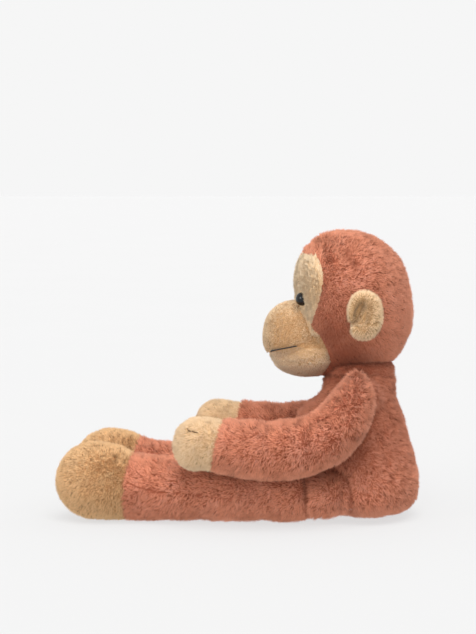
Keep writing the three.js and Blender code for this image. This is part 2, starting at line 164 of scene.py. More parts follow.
# ---------------------------------------------------------------- meshes
def surface(field, lo, hi, step=GRID):
    """Quad mesh of field = 0 by surface nets, with its points moved onto the surface."""
    lo, hi = np.array(lo, float), np.array(hi, float)
    n = np.ceil((hi - lo) / step).astype(int) + 1
    axes = [lo[a] + step * np.arange(n[a]) for a in range(3)]
    grid = np.stack(np.meshgrid(*axes, indexing="ij"), -1).reshape(-1, 3)
    f = field(grid).reshape(n)
    s = f < 0
    count = np.zeros(n - 1, int)
    corners = [(i, j, k) for i in (0, 1) for j in (0, 1) for k in (0, 1)]
    for i, j, k in corners:
        count += s[i : n[0] - 1 + i, j : n[1] - 1 + j, k : n[2] - 1 + k]
    active = (count > 0) & (count < 8)
    cell = np.argwhere(active)
    number = -np.ones(n - 1, int)
    number[active] = np.arange(len(cell))
    pos, hits = np.zeros((len(cell), 3)), np.zeros(len(cell))
    for a in corners:
        for b in corners:
            if sum(b) - sum(a) == 1 and all(q >= p for p, q in zip(a, b)):
                fa, fb = f[tuple((cell + a).T)], f[tuple((cell + b).T)]
                m = (fa < 0) != (fb < 0)
                t = np.where(m, fa / np.where(m, fa - fb, 1), 0)
                pos[m] += (np.array(a) + t[:, None] * (np.array(b) - np.array(a)))[m]
                hits[m] += 1
    verts = lo + step * (cell + pos / hits[:, None])
    quads = []
    for ax in range(3):
        u, w = (ax + 1) % 3, (ax + 2) % 3
        s0, s1 = [slice(None)] * 3, [slice(None)] * 3
        s0[ax], s1[ax] = slice(0, n[ax] - 1), slice(1, n[ax])
        for q in (u, w):
            s0[q] = s1[q] = slice(1, n[q] - 1)
        a, b = s[tuple(s0)], s[tuple(s1)]
        m = a != b
        e = np.argwhere(m)
        e[:, u] += 1
        e[:, w] += 1
        du, dw = np.eye(3, dtype=int)[u], np.eye(3, dtype=int)[w]
        q = np.stack(
            [number[tuple((e + d).T)] for d in (-du - dw, -dw, np.zeros(3, int), -du)], 1
        )
        back = ~a[m]
        q[back] = q[back][:, ::-1]
        quads.append(q)
    quads = np.vstack(quads)
    for _ in range(3):
        f0 = field(verts)
        g = np.stack([field(verts + 0.4 * np.eye(3)[k]) - f0 for k in range(3)], 1) / 0.4
        size2 = np.maximum((g**2).sum(1), 0.05)
        move = -g * (f0 / size2)[:, None]
        far = np.linalg.norm(move, axis=1, keepdims=True)
        verts += move * np.minimum(1, step * 0.6 / np.maximum(far, 1e-9))
    return verts, quads


def relax(verts, quads, rounds=2, share=0.5):
    """Evens the points out by moving each part of the way to its neighbours' middle."""
    a = np.concatenate([quads[:, i] for i in range(4)])
    b = np.concatenate([quads[:, (i + 1) % 4] for i in range(4)])
    i, j = np.concatenate([a, b]), np.concatenate([b, a])
    number = np.bincount(i, minlength=len(verts))[:, None]
    for _ in range(rounds):
        total = np.stack(
            [np.bincount(i, verts[j, k], minlength=len(verts)) for k in range(3)], 1
        )
        verts = verts + share * (total / np.maximum(number, 1) - verts)
    return verts


def normals_of(verts, quads):
    d1, d2 = verts[quads[:, 2]] - verts[quads[:, 0]], verts[quads[:, 3]] - verts[quads[:, 1]]
    face = np.cross(d1, d2)
    out = np.zeros_like(verts)
    for k in range(4):
        for c in range(3):
            out[:, c] += np.bincount(quads[:, k], face[:, c], minlength=len(verts))
    return unit(out)


def make_mesh(name, verts, faces, smooth=True):
    """verts in mm from the lap plane."""
    mesh = bpy.data.meshes.new(name)
    faces = np.asarray(faces)
    mesh.vertices.add(len(verts))
    mesh.vertices.foreach_set("co", place(verts).astype(np.float32).ravel())
    mesh.loops.add(faces.size)
    mesh.loops.foreach_set("vertex_index", faces.astype(np.int32).ravel())
    mesh.polygons.add(len(faces))
    mesh.polygons.foreach_set(
        "loop_start", (np.arange(len(faces)) * faces.shape[1]).astype(np.int32)
    )
    mesh.polygons.foreach_set("use_smooth", np.full(len(faces), smooth))
    mesh.update(calc_edges=True)
    obj = bpy.data.objects.new(name, mesh)
    bpy.context.scene.collection.objects.link(obj)
    return obj


def paint(obj, name, values):
    """A point attribute of four numbers that a material reads."""
    attribute = obj.data.color_attributes.new(name, "FLOAT_COLOR", "POINT")
    attribute.data.foreach_set("color", np.asarray(values, np.float32).ravel())


class Cover:
    """One sewn skin: its mesh, its normals, and what its surface carries."""

    def __init__(self, field, lo, hi, step=GRID, floor=True):
        whole = (lambda P: smax(field(P), 1.3 - P[:, 2], 2.0)) if floor else field
        self.field = whole
        self.v, self.q = surface(whole, lo, hi, step)
        self.v = relax(self.v, self.q, 2, 0.35)
        self.n = normals_of(self.v, self.q)
        # dark: the painted shade of each point, which the pile material turns into darker colour
        self.dark = np.zeros(len(self.v))

    def lumps(self, seed, big=0.7, mid=0.45, fine=0.3):
        """The small unevenness of a stuffed cloth."""
        d = (
            noise(self.v, 26, seed)[:, 0] * big
            + noise(self.v, 10, seed + 3)[:, 1] * mid
            + noise(self.v, 4.2, seed + 5)[:, 2] * fine
        )
        self.v = self.v + self.n * np.clip(d, -1.6, 0.9)[:, None]
        self.v[:, 2] = np.maximum(self.v[:, 2], 0.9)
        self.n = normals_of(self.v, self.q)

    def groove(self, distance, depth, width, shade=0.6, mask=None):
        """Draws the cloth in along a seam or a fold and paints shade along it (shade); distance is to its line."""
        d = distance(self.v)
        g = np.exp(-((d / width) ** 2))
        if mask is not None:
            g = g * mask(self.v)
        self.v = self.v - self.n * (g * depth)[:, None]
        self.dark = np.maximum(self.dark, g * shade)

    def dimple(self, centre, depth, radius, shade=0.0):
        g = np.exp(-(np.linalg.norm(self.v - np.array(centre), axis=1) / radius) ** 2)
        self.v = self.v - self.n * (g * depth)[:, None]
        self.dark = np.maximum(self.dark, g * shade)

    def done(self):
        self.v[:, 2] = np.maximum(self.v[:, 2], 0.9)
        self.n = normals_of(self.v, self.q)


def skin_piece(name, cover, keep, material):
    """The cloth of the faces that keep() picks by their middles."""
    mid = cover.v[cover.q].mean(1)
    q = cover.q[keep(mid)]
    used, back = np.unique(q, return_inverse=True)
    obj = make_mesh(name, cover.v[used], back.reshape(-1, 4))
    col = np.ones((len(used), 4))
    col[:, 0] = 0.0
    col[:, 1] = 0.5
    # blue channel: the cover's painted shade
    col[:, 2] = cover.dark[used]
    paint(obj, "pile", col)
    obj.data.materials.append(material)
    return obj


def pile_piece(
    name,
    cover,
    keep,
    material,
    comb,
    density=1.8,
    length=4.6,
    lean=42,
    width=0.76,
    swirl=0.34,
    clump=0.4,
    bare=None,
    seed=1,
    shorten=None,
    normal_mix=0.88,
    grain=2.5,
    scatter=0.24,
    fleck=0.035,
):
    """Tufts of pile: each is a thin three-sided spike rooted just under the cloth."""
    r = np.random.default_rng(1000 + seed)
    q = cover.q
    tri = np.vstack([q[:, [0, 1, 2]], q[:, [0, 2, 3]]])
    v, n = cover.v, cover.n
    a, b, c = v[tri[:, 0]], v[tri[:, 1]], v[tri[:, 2]]
    area = np.linalg.norm(np.cross(b - a, c - a), axis=1) / 2
    mids = (a + b + c) / 3
    near = keep(mids) | keep(a) | keep(b) | keep(c)
    tri, area = tri[near], area[near]
    count = int(area.sum() * density)
    pick = np.searchsorted(np.cumsum(area), r.random(count) * area.sum())
    pick = np.clip(pick, 0, len(area) - 1)
    s, t = r.random(count), r.random(count)
    over = s + t > 1
    s[over], t[over] = 1 - s[over], 1 - t[over]
    w = np.stack([1 - s - t, s, t], 1)[:, :, None]
    root = (v[tri[pick]] * w).sum(1)
    nor = unit((n[tri[pick]] * w).sum(1))
    dark = (cover.dark[tri[pick]] * w[:, :, 0]).sum(1)
    ok = keep(root) & (root[:, 2] > 1.15)
    if bare is not None:
        ok &= ~bare(root)
    root, nor, dark = root[ok], nor[ok], dark[ok]
    count = len(root)
    # small partings in the pile: shorter tufts painted dark, as painted shade in the parting
    spot = noise(root, 1.35, seed + 9)[:, 0] + 0.35 * noise(root, 9, seed + 12)[:, 1]
    spot = spot > np.quantile(spot, 1 - fleck)
    dark = np.where(spot, np.maximum(dark, 1.25), dark)
    way, lean_more = comb(root, nor)
    way = way - nor * (way * nor).sum(1, keepdims=True)
    way = unit(way)
    side = np.cross(nor, way)
    n1 = noise(root, 15, seed)
    n2 = noise(root, grain, seed + 2)
    n3 = noise(root, grain * 2.2, seed + 4)
    way = unit(
        way
        + side * (n1[:, :1] * swirl * 0.55 + n3[:, :1] * swirl * 0.45 + n2[:, :1] * clump)
        + way * n2[:, 1:2] * clump
        + r.standard_normal((count, 3)) * scatter
    )
    angle = np.radians(
        np.clip(
            lean * lean_more + n3[:, 1] * 4.5 + n2[:, 2] * 6.5 + r.standard_normal(count) * 7, 4, 80
        )
    )
    lift = unit(nor * np.cos(angle)[:, None] + way * np.sin(angle)[:, None])
    size = length * (1 + 0.13 * r.standard_normal(count) + 0.06 * n2[:, 0]) * (1 - 0.28 * dark)
    if shorten is not None:
        size = size * shorten(root)
    size = np.clip(size, 0.8, length * 1.35)
    size = np.minimum(size, (PILE + 1.0) / np.maximum(np.cos(angle), 0.2))
    tip = root + lift * size[:, None]
    tip[:, 2] = np.maximum(tip[:, 2], 0.25)
    foot = root - nor * 0.55
    foot[:, 2] = np.maximum(foot[:, 2], 0.2)
    half = width * (0.8 + 0.4 * r.random(count))[:, None] / 2
    e1 = unit(np.cross(lift, nor + 0.3 * way))
    e2 = unit(np.cross(lift, e1))
    turn = r.random(count) * 2 * math.pi
    ring = []
    for k in range(3):
        ang = turn + k * 2 * math.pi / 3
        ring.append(foot + half * (e1 * np.cos(ang)[:, None] + e2 * np.sin(ang)[:, None]))
    verts = np.stack([*ring, tip], 1)
    normals = [unit(nor * normal_mix + (1 - normal_mix) * unit(x - foot)) for x in ring]
    normals.append(unit(nor * normal_mix + (1 - normal_mix) * 0.6 * lift))
    normals = np.stack(normals, 1)
    verts[:, :, 2] = np.maximum(verts[:, :, 2], 0.2)
    base = np.arange(count)[:, None, None] * 4
    faces = (base + np.array([[0, 1, 3], [1, 2, 3], [2, 0, 3]])).reshape(-1, 3)
    obj = make_mesh(name, verts.reshape(-1, 3), faces)
    tone = np.clip(
        0.5 + 0.12 * r.standard_normal(count) + 0.05 * n2[:, 0] + 0.05 * n1[:, 2], 0, 1
    )
    # the tufts of a parting take the darkest tone, part of their painted shade
    tone = np.where(spot, 0.08, tone)
    dark = np.minimum(dark, 1)
    col = np.ones((count, 4, 4))
    col[:, :3, 0] = 0.0
    col[:, 3, 0] = 1.0
    col[:, :, 1] = tone[:, None]
    # blue channel: painted shade, from the cover and from the partings
    col[:, :, 2] = dark[:, None]
    paint(obj, "pile", col.reshape(-1, 4))
    obj.data.normals_split_custom_set_from_vertices(normals.reshape(-1, 3).astype(np.float32))
    # a cell of the bake map for each tuft, its three sides next to one another
    across = int(math.ceil(math.sqrt(count)))
    cu, cv = (np.arange(count) % across) / across, (np.arange(count) // across) / across
    uv = np.zeros((count, 3, 3, 2))
    for k in range(3):
        for j, (du, dv) in enumerate(((0.06, 0.08), (0.94, 0.08), (0.5, 0.92))):
            uv[:, k, j, 0] = cu + (k + du) / 3 / across
            uv[:, k, j, 1] = cv + dv / across
    layer = obj.data.uv_layers.new(name="OFBake")
    layer.data.foreach_set("uv", uv.astype(np.float32).ravel())
    obj.data.materials.append(material)
    return obj


# ---------------------------------------------------------------- materials
def linear(r, g, b):
    out = []
    for c in (r, g, b):
        c /= 255
        out.append(c / 12.92 if c <= 0.04045 else ((c + 0.055) / 1.055) ** 2.4)
    return (*out, 1.0)


def start_material(name):
    m = bpy.data.materials.new(name)
    m.use_nodes = True
    tree = m.node_tree
    return m, tree, tree.nodes["Principled BSDF"]


def mixer(tree, a, b, factor, mode="MIX"):
    """A colour mix; a and b are sockets or colours, factor a socket or a number."""
    node = tree.nodes.new("ShaderNodeMix")
    node.data_type = "RGBA"
    node.blend_type = mode
    for value, socket in ((factor, node.inputs[0]), (a, node.inputs[6]), (b, node.inputs[7])):
        if isinstance(value, bpy.types.NodeSocket):
            tree.links.new(value, socket)
        else:
            socket.default_value = value
    return node.outputs[2]


def ramp(tree, value, low, high):
    node = tree.nodes.new("ShaderNodeMapRange")
    node.inputs["From Min"].default_value = low[0]
    node.inputs["From Max"].default_value = high[0]
    node.inputs["To Min"].default_value = low[1]
    node.inputs["To Max"].default_value = high[1]
    tree.links.new(value, node.inputs["Value"])
    return node.outputs["Result"]


def grain(tree, scale, detail=3.0, rough=0.55, stretch=None):
    coord = tree.nodes.new("ShaderNodeTexCoord")
    node = tree.nodes.new("ShaderNodeTexNoise")
    node.inputs["Scale"].default_value = scale
    node.inputs["Detail"].default_value = detail
    node.inputs["Roughness"].default_value = rough
    out = coord.outputs["Object"]
    if stretch:
        mapping = tree.nodes.new("ShaderNodeMapping")
        mapping.inputs["Scale"].default_value = stretch
        tree.links.new(out, mapping.inputs["Vector"])
        out = mapping.outputs["Vector"]
    tree.links.new(out, node.inputs["Vector"])
    return node.outputs["Fac"]


def plush(name, tip, root, pale, sheen=0.35, cloth=False):
    """Pile cloth. The point attribute holds: along the tuft, its tone, and how much painted shade it carries, in
    folds and creases and where shadow falls.
    """
    m, tree, shader = start_material(name)
    attribute = tree.nodes.new("ShaderNodeAttribute")
    attribute.attribute_name = "pile"
    split = tree.nodes.new("ShaderNodeSeparateColor")
    tree.links.new(attribute.outputs["Color"], split.inputs["Color"])
    along, tone, deep = split.outputs["Red"], split.outputs["Green"], split.outputs["Blue"]
    body = mixer(tree, root, tip, ramp(tree, along, (0.0, 0.0), (0.5, 1.0)))
    body = mixer(tree, body, pale, ramp(tree, tone, (0.48, 0.0), (0.95, 0.55)))
    body = mixer(tree, body, root, ramp(tree, tone, (0.42, 0.0), (0.05, 0.6)))
    patch = grain(tree, 34, 3)
    body = mixer(tree, body, pale, ramp(tree, patch, (0.5, 0.0), (0.78, 0.14)))
    fleck = grain(tree, 420, 2)
    body = mixer(tree, body, root, ramp(tree, fleck, (0.52, 0.0), (0.8, 0.35)))
    # painted shade: the third channel mixes towards the root colour, and at its strongest towards a darker root
    # colour
    body = mixer(tree, body, root, ramp(tree, deep, (0.1, 0.0), (0.95, 0.8)))
    body = mixer(tree, body, shade(root, 0.62), ramp(tree, deep, (0.955, 0.0), (1.0, 0.8)))
    tree.links.new(body, shader.inputs["Base Color"])
    tree.links.new(ramp(tree, patch, (0.3, 0.82), (0.7, 0.97)), shader.inputs["Roughness"])
    shader.inputs["Specular IOR Level"].default_value = 0.18
    shader.inputs["Sheen Weight"].default_value = sheen
    shader.inputs["Sheen Roughness"].default_value = 0.45
    shader.inputs["Sheen Tint"].default_value = pale
    if cloth:
        bump = tree.nodes.new("ShaderNodeBump")
        bump.inputs["Strength"].default_value = 0.8
        bump.inputs["Distance"].default_value = 0.0006
        tree.links.new(grain(tree, 900, 2), bump.inputs["Height"])
        tree.links.new(bump.outputs["Normal"], shader.inputs["Normal"])
    return m


def shade(rgb, k):
    return (*[c * k for c in rgb[:3]], 1.0)


RUST_TIP, RUST_PALE = (0.74, 0.285, 0.165, 1.0), (0.90, 0.46, 0.34, 1.0)
RUST_ROOT = (0.37, 0.110, 0.058, 1.0)
SAND_TIP, SAND_PALE = (0.86, 0.60, 0.36, 1.0), (0.94, 0.76, 0.55, 1.0)
SAND_ROOT = (0.66, 0.42, 0.22, 1.0)
FOOT_TIP, FOOT_PALE = (0.82, 0.50, 0.25, 1.0), (0.94, 0.69, 0.43, 1.0)
FOOT_ROOT = (0.47, 0.245, 0.105, 1.0)
MUZ_TIP, MUZ_PALE = (0.90, 0.64, 0.39, 1.0), (0.97, 0.80, 0.60, 1.0)
MUZ_ROOT = (0.46, 0.25, 0.105, 1.0)
JAW_TIP, JAW_PALE, JAW_ROOT = (0.97, 0.75, 0.52, 1.0), (0.99, 0.86, 0.69, 1.0), (0.56, 0.34, 0.17, 1.0)
FACE_TIP, FACE_PALE, FACE_ROOT = (0.95, 0.71, 0.46, 1.0), (0.98, 0.85, 0.66, 1.0), (0.74, 0.50, 0.28, 1.0)
EAR_TIP, EAR_PALE, EAR_ROOT = (0.87, 0.61, 0.37, 1.0), (0.93, 0.74, 0.53, 1.0), (0.40, 0.235, 0.105, 1.0)

rust_pile = plush("rust_pile", RUST_TIP, RUST_ROOT, RUST_PALE)
rust_cloth = plush("rust_cloth", RUST_TIP, RUST_ROOT, RUST_PALE, cloth=True)
sand_pile = plush("sand_pile", SAND_TIP, SAND_ROOT, SAND_PALE)
sand_cloth = plush("sand_cloth", SAND_TIP, SAND_ROOT, SAND_PALE, cloth=True)
face_pile = plush("face_pile", FACE_TIP, FACE_ROOT, FACE_PALE)
face_cloth = plush("face_cloth", FACE_TIP, FACE_ROOT, FACE_PALE, cloth=True)
ear_pile = plush("ear_pile", EAR_TIP, EAR_ROOT, EAR_PALE)
ear_cloth = plush("ear_cloth", EAR_TIP, EAR_ROOT, EAR_PALE, cloth=True)
foot_pile = plush("foot_pile", FOOT_TIP, FOOT_ROOT, FOOT_PALE)
foot_cloth = plush("foot_cloth", FOOT_TIP, FOOT_ROOT, FOOT_PALE, cloth=True)
muzzle_pile = plush("muzzle_pile", MUZ_TIP, MUZ_ROOT, MUZ_PALE)
muzzle_cloth = plush("muzzle_cloth", MUZ_TIP, MUZ_ROOT, MUZ_PALE, cloth=True)
jaw_pile = plush("jaw_pile", JAW_TIP, JAW_ROOT, JAW_PALE)
jaw_cloth = plush("jaw_cloth", JAW_TIP, JAW_ROOT, JAW_PALE, cloth=True)


def eye_material():
    m, tree, shader = start_material("eye_gloss")
    speck = grain(tree, 240, 2)
    tree.links.new(
        mixer(tree, linear(4, 3, 3), linear(12, 9, 8), ramp(tree, speck, (0.45, 0.0), (0.75, 1.0))),
        shader.inputs["Base Color"],
    )
    tree.links.new(
        ramp(tree, grain(tree, 90, 3), (0.3, 0.03), (0.75, 0.09)), shader.inputs["Roughness"]
    )
    shader.inputs["Specular IOR Level"].default_value = 0.38
    return m


def thread_material(name, low, high):
    m, tree, shader = start_material(name)
    tree.links.new(
        mixer(tree, low, high, ramp(tree, grain(tree, 1500, 3), (0.35, 0.0), (0.7, 1.0))),
        shader.inputs["Base Color"],
    )
    bump = tree.nodes.new("ShaderNodeBump")
    bump.inputs["Strength"].default_value = 0.5
    bump.inputs["Distance"].default_value = 0.0002
    tree.links.new(grain(tree, 4000, 2, stretch=(1, 1, 4)), bump.inputs["Height"])
    tree.links.new(bump.outputs["Normal"], shader.inputs["Normal"])
    tree.links.new(ramp(tree, grain(tree, 700, 2), (0.3, 0.55), (0.7, 0.8)), shader.inputs["Roughness"])
    shader.inputs["Sheen Weight"].default_value = 0.15
    return m


def filling_material():
    """White fibre filling: crossing strands, soft and matt."""
    m, tree, shader = start_material("fibre_filling_look")
    a = grain(tree, 60, 5, 0.7, (1, 6, 1))
    b = grain(tree, 75, 5, 0.7, (6, 1, 2))
    tint = mixer(tree, linear(205, 202, 194), linear(246, 244, 238), ramp(tree, a, (0.35, 0.0), (0.7, 1.0)))
    tint = mixer(tree, tint, linear(216, 212, 203), ramp(tree, b, (0.5, 0.0), (0.8, 0.6)))
    tree.links.new(tint, shader.inputs["Base Color"])
    bump = tree.nodes.new("ShaderNodeBump")
    bump.inputs["Strength"].default_value = 0.9
    bump.inputs["Distance"].default_value = 0.0015
    tree.links.new(a, bump.inputs["Height"])
    tree.links.new(bump.outputs["Normal"], shader.inputs["Normal"])
    tree.links.new(ramp(tree, b, (0.3, 0.85), (0.7, 1.0)), shader.inputs["Roughness"])
    shader.inputs["Sheen Weight"].default_value = 0.4
    return m


def pellet_material():
    """A thin woven bag, drawn over the round beads inside it, with painted shade in the gaps between the beads."""
    m, tree, shader = start_material("pellet_bag_look")
    coord = tree.nodes.new("ShaderNodeTexCoord")
    cells = tree.nodes.new("ShaderNodeTexVoronoi")
    cells.inputs["Scale"].default_value = 330
    tree.links.new(coord.outputs["Object"], cells.inputs["Vector"])
    beads = cells.outputs["Distance"]
    tint = mixer(tree, linear(214, 211, 203), linear(160, 156, 148), ramp(tree, beads, (0.15, 0.0), (0.6, 1.0)))
    tree.links.new(tint, shader.inputs["Base Color"])
    bump = tree.nodes.new("ShaderNodeBump")
    bump.invert = True
    bump.inputs["Strength"].default_value = 0.9
    bump.inputs["Distance"].default_value = 0.001
    tree.links.new(beads, bump.inputs["Height"])
    tree.links.new(bump.outputs["Normal"], shader.inputs["Normal"])
    tree.links.new(ramp(tree, grain(tree, 800, 2), (0.3, 0.6), (0.7, 0.85)), shader.inputs["Roughness"])
    return m


def washer_material():
    m, tree, shader = start_material("washer_look")
    a = grain(tree, 300, 3)
    tree.links.new(
        mixer(tree, linear(205, 205, 200), linear(226, 226, 222), ramp(tree, a, (0.35, 0.0), (0.7, 1.0))),
        shader.inputs["Base Color"],
    )
    tree.links.new(ramp(tree, grain(tree, 900, 2), (0.3, 0.35), (0.7, 0.55)), shader.inputs["Roughness"])
    return m


# ---------------------------------------------------------------- shapes
# Side-view outline of the head at the pile's tips (y, z), without the muzzle.
HEAD_MID = np.array([97.0, 184.0])
HEAD_LINE = [
    (90.7, 243.6), (69.6, 239.3), (56.1, 229.2), (50.0, 219.5), (46.8, 208.8), (45.9, 195),
    (48.5, 180), (52.5, 163), (60, 145), (70, 131.5), (82.3, 125.6), (102.2, 127.4),
    (121, 128.5), (133, 132), (140.1, 143.1), (146.4, 158.5), (147.9, 172), (147.4, 186),
    (144.9, 200), (140.5, 214.2), (128.6, 229.4), (112.6, 239.4),
]
_d = np.array(HEAD_LINE) - HEAD_MID
_a, _r = np.arctan2(_d[:, 1], _d[:, 0]), np.linalg.norm(_d, axis=1)
_o = np.argsort(_a)
_ring = np.radians(np.arange(-180, 180, 2.0))
_rad = np.interp(_ring, _a[_o], _r[_o], period=2 * math.pi)
_kernel = np.exp(-(np.arange(-6, 7) / 2.6) ** 2)
_rad = np.convolve(np.concatenate([_rad[-6:], _rad, _rad[:6]]), _kernel / _kernel.sum(), "valid")
HEAD_HALF = 57.0


def head_only(P, out=PILE):
    d = P[:, 1:] - HEAD_MID
    R = np.interp(np.arctan2(d[:, 1], d[:, 0]), _ring, _rad, period=2 * math.pi) - out
    low = np.clip((184 - P[:, 2]) / 60, 0, 1)
    wide = HEAD_HALF - out - 3.0 * low**2 - 4.0 * np.clip((P[:, 2] - 200) / 45, 0, 1) ** 2
    s = np.linalg.norm(d, axis=1) / R
    f = (np.abs(P[:, 0] / wide) ** 2.15 + s**2.15) ** (1 / 2.15)
    return (f - 1) * 48


def upper_muzzle(P, out=2.2):
    a = blob(P, (0, 51, 157), (34.5 - out, 29.8 - out, 28.3 - out), 2.15)
    b = blob(P, (0, 48, 147.5), (33 - out, 26.4 - out, 17 - out), 2.3)
    return smin(a, b, 5)


def jaw(P, out=2.2):
    a = blob(P, (0, 57.5, 139), (33.5 - out, 31.3 - out, 21.6 - out), 2.1)
    b = blob(P, (0, 68, 139), (36 - out, 21 - out, 17.5 - out), 2.1)
    return smin(a, b, 6)


def head_field(P):
    h = head_only(P)
    u = upper_muzzle(P)
    j = jaw(P)
    lip = smin(u, j, 1.6)
    return smin(h, lip, 4.5)


# Where the beige face cloth ends: y of its edge at each height.
EDGE_Z = [112, 118, 124.1, 133.3, 143.3, 155.8, 161, 164.9, 169, 179.8, 195.6, 205.6, 215, 222.9, 232]
EDGE_Y = [66, 69.5, 73.9, 79.7, 77.6, 72.0, 66.3, 63.8, 65.3, 69.1, 73.6, 74.1, 71.6, 66.8, 58]


def is_beige(P):
    top = 219.5 + 2.6 * np.clip(np.abs(P[:, 0]) / 12, 0, 1)
    return (P[:, 1] < np.interp(P[:, 2], EDGE_Z, EDGE_Y)) & (P[:, 2] < top)


def is_muzzle(P):
    return is_beige(P) & ((smin(upper_muzzle(P), jaw(P), 1.6) < head_only(P) - 0.6) | (P[:, 2] < 157))


def is_jaw(P):
    turn = np.abs(np.arctan2(P[:, 0], 58 - P[:, 1]))
    line = 138.4 + 0.8 * np.clip(turn / 0.4, 0, 1) + 9.2 * np.clip((turn - 0.35) / 1.2, 0, 1)
    return is_muzzle(P) & (P[:, 2] < np.minimum(line, 145.5))


TORSO_ROWS = np.array([
    # z, half width, front y, back y at the pile's tips
    [-8, 44, 76, 128], [0, 50, 68, 140], [5, 54, 64.5, 146.5], [10, 56.5, 62, 149.8], [18, 57.5, 60, 153],
    [26, 57.5, 58, 154.4], [36, 56.5, 56.5, 154.4], [46, 54, 54, 152.2], [56, 51, 51.5, 149.6],
    [66, 47.5, 49.5, 146.2], [77, 43.5, 48.5, 143.2], [87, 40, 50, 140.6], [92, 38.5, 54.5, 139], [97, 37, 60.5, 138],
    [102, 35.5, 66.5, 136.8], [107, 34, 70, 136.8], [117, 31.5, 71, 136.6], [124, 30, 73, 135.8], [134, 27, 77, 133],
])


def torso_field(P):
    z = P[:, 2]
    half, front, back = (
        np.interp(z, TORSO_ROWS[:, 0], TORSO_ROWS[:, k]) for k in (1, 2, 3)
    )
    half, front, back = half - PILE, front + PILE, back - PILE
    mid, deep = (front + back) / 2, (back - front) / 2
    q = (np.abs(P[:, 0] / half) ** 2.3 + np.abs((P[:, 1] - mid) / deep) ** 2.3) ** (1 / 2.3)
    body = (q - 1) * 38
    body = smax(body, z - 121.3, 4)
    under = 4.8 + 8.0 * np.clip(np.hypot(P[:, 0] / 52, (P[:, 1] - 104) / 60), 0, 1.1) ** 2
    body = smax(body, under - z, 9)
    shoulder = np.minimum(
        blob(P, (29.5, 103, 105.5), (22.5, 19, 14.8)), blob(P, (-29.5, 103, 105.5), (22.5, 19, 14.8))
    )
    return smin(body, shoulder, 8)


ARM = curve([
    # centre line and radius at the pile's tips, left arm
    (48, 102.5, 122.5, 8), (51.5, 101, 112.5, 13.8), (57.5, 99.3, 102, 19), (65.5, 92.6, 90, 22.7), (72, 80.6, 78.5, 23.2),
    (76, 66, 71.8, 24), (78.5, 50, 67.8, 24.8), (79.8, 32, 65.2, 24), (79.8, 15, 67.3, 24.8),
    (79.2, 2, 68.6, 24.2), (78.4, -6, 68.8, 23.2), (78, -14, 70, 22.9), (78, -24.4, 71.6, 22.8),
])
WRIST_A, WRIST_B = np.array([-3.6, 90.4]), np.array([-12.9, 47.3])


def past_wrist(P):
    """Millimetres past the wrist seam, towards the hand."""
    along = WRIST_B - WRIST_A
    out = np.array([along[1], -along[0]]) / np.linalg.norm(along)
    bow = 1.6 * np.clip((P[:, 2] - 47) * (91 - P[:, 2]) / 484, 0, 1)
    return (P[:, 1:] - WRIST_A) @ out - bow


ARM_SKIN = ARM - np.array([0, 0, 0, PILE])


def arm_field(P):
    palm = blob(P, (78, -28.3, 65.8), (18.5 - PILE, 17.6 - PILE, 17.6 - PILE))
    return smin(chain(P, ARM_SKIN, 0.97), palm, 4)


LEG = curve([
    # left leg: haunch, seam, shin, foot
    (40.5, 76, 26.2, 22.4), (40.5, 70, 26.6, 22.8), (40, 63, 26.6, 22.0), (40, 56, 26.9, 24.2), (40, 44, 27, 26.2),
    (40, 20, 27, 26.8), (40, -12, 27, 27), (40, -45, 27.2, 27.2), (40.2, -70, 28, 28), (40.5, -88, 29.4, 29.4),
    (40.6, -98, 31, 31), (40.8, -108, 32.6, 32.8), (41, -116.7, 33.3, 33.4),
])
LEG_SKIN = LEG - np.array([0, 0, 0, PILE])
ANKLE_LINE = [(-82.0, 62), (-83.6, 57), (-86.6, 46), (-88.4, 34), (-89.4, 20), (-90.2, 2), (-90.2, -2)]


def past_ankle(P):
    z = np.array([p[1] for p in ANKLE_LINE][::-1])
    y = np.array([p[0] for p in ANKLE_LINE][::-1])
    return np.interp(P[:, 2], z, y) - P[:, 1]


def leg_field(P):
    return chain(P, LEG_SKIN, 0.985)


EAR_MID = np.array([60.6, 108.4, 174.9])


EAR_RIM = curve([
    # rolled rim from its front end over the top and the back to the lower lobe: y, z, radius
    (62.6, 98.3, 169.6, 3.5), (62.8, 97.9, 174.5, 4.4), (62.6, 98.6, 181, 5.1), (61.6, 102.4, 187.6, 5.8),
    (60.8, 108.6, 189.4, 6.4), (60.6, 114.4, 185.2, 7.3), (60.8, 116.0, 177.5, 7.6), (61.0, 115.6, 169, 7.8),
    (61.4, 111.6, 162.8, 8.0), (62.0, 105.2, 161.6, 7.4), (62.8, 101.2, 163.4, 5.6),
], 2.5)
EAR_RIM[:, 3] -= 2.3
EAR_SLOT = [(107.6, 181.5), (106.6, 177.5), (104.6, 173.0), (101.6, 169.6), (97, 167.4), (90, 166.8)]


def ear_field(P):
    """Left ear: a stuffed rim that rolls in round a narrow hollow and is open at the front."""
    rim = chain(P, EAR_RIM, 0.72)
    back = blob(P, (58.6, 108.2, 175.5), (2.4, 12.5, 17.0), 2.2)
    d = smin(rim, back, 2.2)
    line, _ = near_line(P[:, 1:], EAR_SLOT)
    cut = np.hypot(np.maximum(line - 0.3, 0), np.minimum(P[:, 0] - 59.6, 0)) - 1.1
    return smax(d, -cut, 1.6)


# ---------------------------------------------------------------- grooves
DART = [(91.0, 238.5), (91.6, 229), (93.4, 221), (98.6, 214.5), (102.0, 206), (101.4, 198.6)]
LEG_FOLD = [(-83.5, 35.2), (-75, 31.8), (-62, 28.6), (-40, 27.8), (-18, 25.0), (6, 22.6)]
FINGER = [(-33.4, 84.6), (-29.4, 82.9), (-23.8, 82.4)]


def side_line(line, x0=0):
    """Distance to a line drawn on the outer side, where |x| is over x0."""
    def distance(P):
        d, _ = near_line(P[:, 1:], line)
        return np.where(np.abs(P[:, 0]) > x0, d, 99)
    return distance


